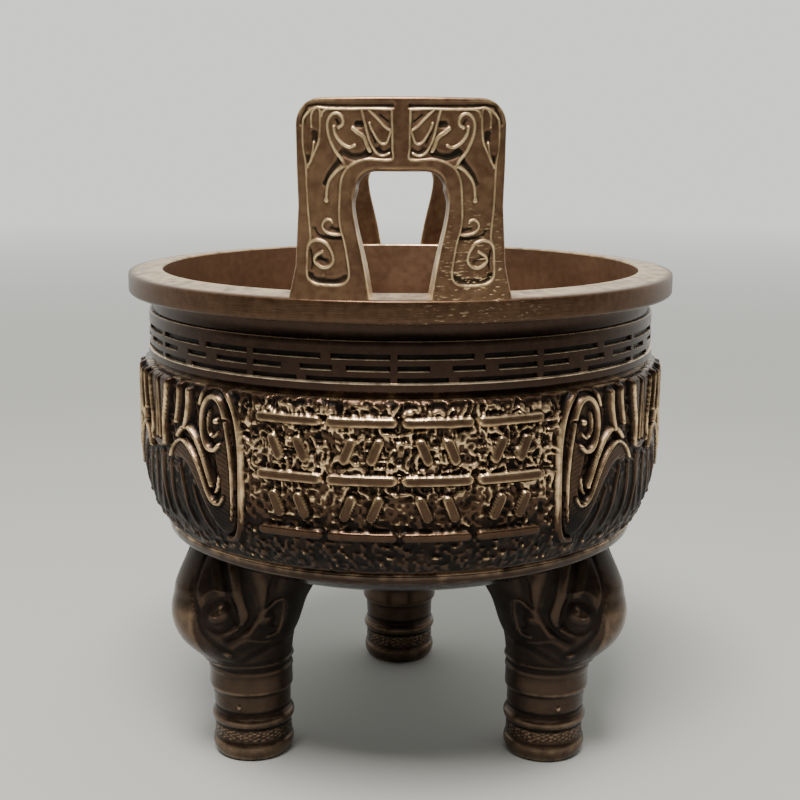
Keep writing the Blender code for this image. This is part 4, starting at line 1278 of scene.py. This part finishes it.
    def build(self) -> None:
        """Builds the ear as a grid rolled round its section, from foot to foot."""
        f = self.form
        outer, inner = self.outline(self.along + 1), self.opening(self.along + 1)
        front = f.rim_radius - self.setback
        thick = front - f.mouth_radius - f.rim_edge
        section = self.section(thick)
        mesh, i, j = grid_mesh(self.name, self.along, len(section))
        share, deep = np.array(section)[j % len(section)].T
        base = outer[i] * share[:, None] + inner[i] * (1.0 - share[:, None])
        towards = inner[i] - outer[i]
        towards /= np.maximum(np.linalg.norm(towards, axis=1), 1e-9)[:, None]
        narrower = self.draft * deep / thick * np.maximum(0.0, 1.0 - 2.0 * share)
        x, z = (base + towards * narrower[:, None]).T
        lift = self.crown * np.clip(1.0 - (x / self.half_width) ** 2, 0.0, 1.0)
        z = z + lift * soft_step(z, f.ear_top - self.top_bar, f.ear_top - self.crown)
        face = deep < 0.5 * self.edge_round
        relief = np.zeros(len(x))
        carved = relief[face]
        for stroke in self.strokes():
            stroke.press(carved, np.abs(x[face]), z[face])
        relief[face] = carved
        radius = front - deep + relief
        straight = np.arcsin(np.clip(front * np.sin(x / front) / radius, -1.0, 1.0))
        turn = straight * (1.0 - share) + x / front * share
        points = to_place(turn, radius, z)
        if self.angle:
            points[:, :2] *= -1.0
        move_points(mesh, points)
        # Painted shade in the pits; the sunk field and the plain face are darkened a little and the raised
        # ribs lightened.
        pits = soft_step(-relief, 0.00010, 0.00048)
        panel = 0.07 * soft_step(-relief, 0.00005, 0.00011)
        plain = 0.14 * face * (relief == 0.0)
        level = 0.50 * soft_step(relief, -0.00001, 0.00008) * (relief != 0.0) - panel - pits - plain
        # Painted light on the inner sides of the opening near its foot.
        lit_opening_sides = (share < 0.01) * (1.0 - soft_step(z, f.rim_top + 0.008, f.rim_top + 0.016))
        mark_wear_and_painted_light(mesh, level + 0.45 * lit_opening_sides)
        close_mesh(mesh)
        finish_piece(self.name, mesh, self.bronze.materials[Zone.EAR], 60.0, 0.42)

    def section(self, thick: float) -> list[Pair]:
        """Share from the opening to the outside and depth behind the face, once round the section."""
        r = self.edge_round
        small = r / (0.5 * (self.half_width - self.opening_half_foot) + 0.004)
        wide = 1.0 - 2.0 * small
        points: list[Pair] = []

        def quarter(across: float, deep: float, start: float, first: int, last: int) -> None:
            """Adds a rounded edge, or the part of it from one quarter step to another."""
            for k in range(first, last + 1):
                turn = math.radians(start + 22.5 * k)
                points.append((across + small * math.cos(turn), deep + r * math.sin(turn)))

        quarter(small, r, 180.0, 0, 3)
        points += [(small + wide * k / self.across, 0.0) for k in range(self.across + 1)]
        quarter(1.0 - small, r, -90.0, 1, 4)
        points += [(1.0, thick * share) for share in (0.3, 0.5, 0.7)]
        quarter(1.0 - small, thick - r, 0.0, 0, 4)
        points += [(1.0 - small - wide * k / 10, thick) for k in range(1, 10)]
        quarter(small, thick - r, 90.0, 0, 4)
        points += [(0.0, thick * share) for share in (0.7, 0.5, 0.3)]
        return points


@dataclass
class Leg:
    """One leg: a ringed shank under a beast's head that leans out from under the bowl."""

    form: VesselForm
    bronze: BronzeMaker
    name: str
    angle: float
    circle: float = 0.0333
    columns: int = 200
    rows: int = 150
    nominal: float = 0.0095

    STATIONS = (
        (0.000, 0.00000, 0.0069, 0.0069), (0.012, 0.00000, 0.00745, 0.00745),
        (0.030, 0.00000, 0.0078, 0.0078), (0.050, 0.00000, 0.00795, 0.00795),
        (0.070, 0.00000, 0.0078, 0.0078), (0.085, 0.00000, 0.0075, 0.0075),
        (0.135, 0.00000, 0.0075, 0.0075), (0.150, 0.00000, 0.00780, 0.00780),
        (0.170, 0.00000, 0.0081, 0.0081), (0.190, 0.00000, 0.00785, 0.00785),
        (0.205, 0.00005, 0.0075, 0.0075), (0.285, 0.00020, 0.0076, 0.0076),
        (0.298, 0.00020, 0.0079, 0.0079), (0.312, 0.00030, 0.0081, 0.0083),
        (0.360, 0.00030, 0.0080, 0.0083), (0.400, 0.00040, 0.0081, 0.0084),
        (0.440, 0.00090, 0.0086, 0.0087), (0.480, 0.00180, 0.0096, 0.0092),
        (0.530, 0.00260, 0.0109, 0.0096), (0.580, 0.00270, 0.0121, 0.0100),
        (0.630, 0.00260, 0.0129, 0.0102), (0.680, 0.00220, 0.0134, 0.0105),
        (0.740, 0.00100, 0.0140, 0.0108), (0.800, -0.00010, 0.0145, 0.0110),
        (0.900, -0.00190, 0.0139, 0.0112), (1.000, -0.00380, 0.0125, 0.0114),
    )

    def section_at(self, share: Array) -> tuple[Array, Array, Array]:
        """Outward lean, half depth and half width at shares of the height up to the belly."""
        results = []
        for k in (1, 2, 3):
            level, value = smooth_path([(row[0], row[k]) for row in self.STATIONS]).T
            results.append(np.interp(share, level, value))
        return tuple(results)

    def strokes(self) -> list[Stroke]:
        """Carving of one side: angle round the leg in degrees from outwards, share of its height."""
        rows: list[tuple[Sequence[Pair], float, float, Pair]] = [
            (((18, 0.96), (21, 0.86), (26, 0.76), (33, 0.69), (38, 0.62), (46, 0.570), (53, 0.545)),
             0.70, -0.42, (0.5, 1.0)),
            (((26, 0.95), (36, 0.88), (45, 0.815), (51, 0.78)), 1.10, 0.40, (1.0, 0.6)),
            (((31, 0.957), (43, 0.886), (52, 0.811), (58, 0.745), (66, 0.684), (71, 0.640)), 0.75, -0.62,
             (0.8, 0.8)),
            (((45, 0.93), (57, 0.830), (65, 0.750), (73, 0.680), (71, 0.645), (62, 0.615)), 1.00, 0.55,
             (1.0, 0.5)),
            (((49, 0.95), (62, 0.842), (72, 0.748), (80, 0.69), (78, 0.638), (69, 0.604), (60, 0.585)),
             0.70, -0.60, (0.8, 0.7)),
            (((62, 0.94), (74, 0.845), (84, 0.76), (89, 0.70), (86, 0.65), (78, 0.60)), 1.00, 0.50,
             (1.0, 0.5)),
            (((86, 0.92), (88, 0.86), (88, 0.78), (90, 0.72)), 0.80, -0.60, (0.7, 0.9)),
            (((93, 0.715), (99, 0.735), (106, 0.715), (111, 0.67), (111, 0.62), (107, 0.585), (98, 0.578)),
             0.60, 0.45, (0.8, 0.8)),
            (((99, 0.690), (104, 0.660), (103, 0.620)), 0.55, -0.50, (1.0, 0.8)),
            (((38, 0.700), (41, 0.656), (48, 0.628), (56, 0.624), (63, 0.648), (65, 0.690), (61, 0.730),
              (53, 0.755), (44, 0.750), (39, 0.725), (38, 0.700)), 0.60, -0.42, (1.0, 1.0)),
            (((32, 0.74), (36, 0.785), (46, 0.80), (55, 0.785)), 0.55, 0.22, (0.8, 0.6)),
            (((36, 0.47), (51, 0.459), (66, 0.476), (83, 0.505), (98, 0.525), (118, 0.535), (150, 0.54),
              (181, 0.54)), 0.42, -0.34, (0.5, 1.0)),
            (((62, 0.545), (76, 0.575), (90, 0.560), (102, 0.550)), 0.60, 0.20, (0.8, 0.5)),
        ]
        strokes = []
        for points, half, height, taper in rows:
            path = [self.place(turn, share) for turn, share in points]
            strokes.append(Stroke(path, MILLIMETRE * half, 0.00075 * height, 0.00085, 0.8, taper, adds=True))
        for place, radius, height in (((51, 0.690), 1.70, 0.55), ((52, 0.722), 0.70, 0.30),
                                      ((50, 0.690), 0.55, 0.22), ((93, 0.650), 1.20, 0.35),
                                      ((55, 0.510), 0.95, 0.62), ((46, 0.244), 0.70, 0.35)):
            bump = bead(self.place(*place), MILLIMETRE * radius, MILLIMETRE * height)
            strokes.append(replace(bump, adds=True))
        return strokes

    def place(self, turn: float, share: float) -> Pair:
        """A place on the sheet that is wrapped round the leg."""
        return math.radians(turn) * self.nominal, share * self.form.belly_foot

    def relief(self, turn: Array, share: Array) -> Array:
        """Height of the carving over the leg's plain form."""
        x, z = np.abs(turn) * self.nominal, share * self.form.belly_foot
        lobe = soft_step(math.radians(34) * self.nominal - x, 0.0, 0.0016)
        relief = 0.00030 * lobe * soft_step(share, 0.44, 0.56) * soft_step(1.02 - share, 0.0, 0.30)
        for stroke in self.strokes():
            stroke.press(relief, x, z)
        for level, height in ((0.437, 0.00030), (0.392, 0.00014)):
            relief += height * np.exp(-((share - level) / 0.0065) ** 2)
        for level in (0.214, 0.142, 0.415):
            relief -= 0.00022 * np.exp(-((share - level) / 0.006) ** 2)
        band = soft_step(share, 0.088, 0.095) * soft_step(0.136 - share, 0.0, 0.007)
        waves = np.sin(2 * math.pi * turn * 14 / math.pi) * np.sin(2 * math.pi * (share - 0.09) / 0.016)
        grain = cell_noise(turn * self.nominal, z, 2 * math.pi * self.nominal / 110, 41, 110) - 0.5
        relief += band * (0.00009 * waves + 0.00016 * grain)
        return relief

    def top_height(self, turn: Array) -> Array:
        """Where each column ends, hidden inside the wall of the bowl."""
        f = self.form
        top = np.full(turn.shape, 0.95 * f.belly_foot)
        for _ in range(12):
            lean, deep, wide = self.section_at(top / f.belly_foot)
            radius = np.hypot(wide * np.sin(turn), self.circle + lean + deep * np.cos(turn))
            level = f.underside_at(np.minimum(radius, f.underside_radius))
            top = 0.5 * (top + level + 0.0012)
        return top

    def build(self) -> None:
        """Builds the leg from a grid rolled into a tube, with its foot and top closed."""
        f = self.form
        mesh, column, row = grid_mesh(self.name, self.columns, self.rows)
        turn = (2.0 * (column % self.columns) / self.columns - 1.0) * math.pi
        z = row / self.rows * self.top_height(turn)
        share = z / f.belly_foot
        lean, deep, wide = self.section_at(share)
        relief = self.relief(turn, share) * soft_step(share, 0.0, 0.02)
        deep, wide = deep + relief, wide + relief
        out = self.circle + lean + deep * np.cos(turn)
        side = wide * np.sin(turn)
        angle = math.radians(self.angle)
        points = np.stack([side * math.cos(angle) + out * math.sin(angle),
                           side * math.sin(angle) - out * math.cos(angle), z], 1)
        move_points(mesh, points)
        lobe = 1.0 - soft_step(np.abs(turn), math.radians(24), math.radians(42))
        # Painted shade: the upper leg under the bowl is darkened, except on the head's front lobe.
        dark = 0.62 * soft_step(share, 0.30, 0.50) * (1.0 - lobe * soft_step(0.95 - share, 0.0, 0.3))
        level = np.minimum(relief, 0.0) / 0.0006 - dark
        level += 0.25 * soft_step(relief, 0.0002, 0.0006) + 0.12 * soft_step(0.17 - share, 0.0, 0.05)
        # Painted highlight on the head's front lobe.
        level += 0.14 * lobe * soft_step(share, 0.46, 0.56) * soft_step(0.92 - share, 0.0, 0.2)
        mark_wear_and_painted_light(mesh, level)
        close_mesh(mesh)
        finish_piece(self.name, mesh, self.bronze.materials[Zone.LEG], 60.0, 0.30)


@dataclass
class Studio:
    """The pale floor, the soft light and the camera at the photograph's angle."""

    rim_radius: float
    camera_back: float = 5.0996
    camera_height: float = 2.2986
    camera_pitch: float = 0.1998
    camera_roll: float = 0.004
    lens: float = 61.4
    floor_colour: Colour = (0.50, 0.50, 0.48)
    floor_fade: Pair = (0.35, 1.5)
    backdrop_colour: Colour = (0.98, 0.99, 0.95)

    def floor(self) -> None:
        """A wide plain floor."""
        bm = bmesh.new()
        bmesh.ops.create_grid(bm, x_segments=1, y_segments=1, size=4.0)
        mesh = bpy.data.meshes.new("studio_floor")
        bm.to_mesh(mesh)
        bm.free()
        material = bpy.data.materials.new("pale_floor")
        material.use_nodes = True
        shader = material.node_tree.nodes["Principled BSDF"]
        shader.inputs["Base Color"].default_value = (*self.floor_colour, 1.0)
        shader.inputs["Roughness"].default_value = 0.8
        graph = Graph(material.node_tree)
        place = graph.add("ShaderNodeTexCoord").outputs["Object"]
        away = graph.add("ShaderNodeVectorMath", {0: place}, operation="LENGTH").outputs["Value"]
        graph.feed(shader.inputs["Alpha"], graph.span(away, self.floor_fade[0], self.floor_fade[1], 1.0, 0.0))
        mesh.materials.append(material)
        floor = bpy.data.objects.new("studio_floor", mesh)
        bpy.context.scene.collection.objects.link(floor)

    def area_light(self, name: str, place: Place, size: Pair, power: float, tint: Colour) -> None:
        """A soft rectangular light aimed at the middle of the vessel."""
        data = bpy.data.lights.new(name, "AREA")
        data.shape = "RECTANGLE"
        data.size, data.size_y = size
        data.energy = power
        data.color = tint
        light = bpy.data.objects.new(name, data)
        light.location = place
        aim = Vector((0.0, 0.0, 0.06)) - Vector(place)
        light.rotation_euler = aim.to_track_quat("-Z", "Y").to_euler()
        bpy.context.scene.collection.objects.link(light)

    def camera(self) -> None:
        """The camera, placed in rim radii from the middle of the foot circle."""
        data = bpy.data.cameras.new("camera")
        data.lens = self.lens
        data.clip_start = 0.01
        camera = bpy.data.objects.new("camera", data)
        camera.location = (0.0, -self.camera_back * self.rim_radius, self.camera_height * self.rim_radius)
        look = Matrix.Rotation(math.pi / 2 - self.camera_pitch, 4, "X")
        camera.matrix_world = Matrix.Translation(camera.location) @ look @ Matrix.Rotation(
            self.camera_roll, 4, "Z")
        bpy.context.scene.collection.objects.link(camera)
        bpy.context.scene.camera = camera

    def world(self) -> None:
        """Light from above and behind, darker in front, before an even pale backdrop."""
        world = bpy.data.worlds.new("soft_room")
        world.use_nodes = True
        graph = Graph(world.node_tree)
        back = world.node_tree.nodes["Background"]
        place = graph.add("ShaderNodeTexCoord").outputs["Generated"]
        axes = graph.add("ShaderNodeSeparateXYZ", {0: place}).outputs
        behind = graph.span(axes["Y"], -0.35, 0.55, 0.04, 1.0)
        above = graph.span(axes["Z"], 0.35, 0.90, 0.0, 0.72)
        light = graph.math("ADD", behind, above)
        room = graph.blend(light, (0.0, 0.0, 0.0, 1.0), (0.83, 0.84, 0.80, 1.0))
        seen = graph.add("ShaderNodeLightPath").outputs["Is Camera Ray"]
        graph.feed(back.inputs["Color"], graph.blend(seen, room, (*self.backdrop_colour, 1.0)))
        back.inputs["Strength"].default_value = 1.12
        bpy.context.scene.world = world

    def build(self) -> None:
        """Sets up the whole studio."""
        self.camera()
        self.floor()
        self.world()
        self.area_light("top_softbox", (-0.05, -0.26, 0.68), (0.28, 0.28), 7.0, (1.0, 0.97, 0.93))


def main() -> None:
    """Builds every piece in order."""
    logging.basicConfig(level=logging.INFO, format="%(name)s %(message)s")
    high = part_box(NODE)[1]
    form = VesselForm(rim_radius=float(high.y), ear_top=float(high.z))
    Studio(form.rim_radius).build()
    bronze = BronzeMaker()
    RimAndLining(form, bronze).build()
    NeckBand(form, bronze).build()
    BellyCarving(form, bronze).build()
    for name, angle in (("ear_front", 0.0), ("ear_back", 180.0)):
        Ear(form, bronze, name, angle).build()
    for name, angle in (("leg_front_left", -60.0), ("leg_front_right", 60.0), ("leg_back", 180.0)):
        Leg(form, bronze, name, angle).build()


if __name__ == "__main__":
    main()
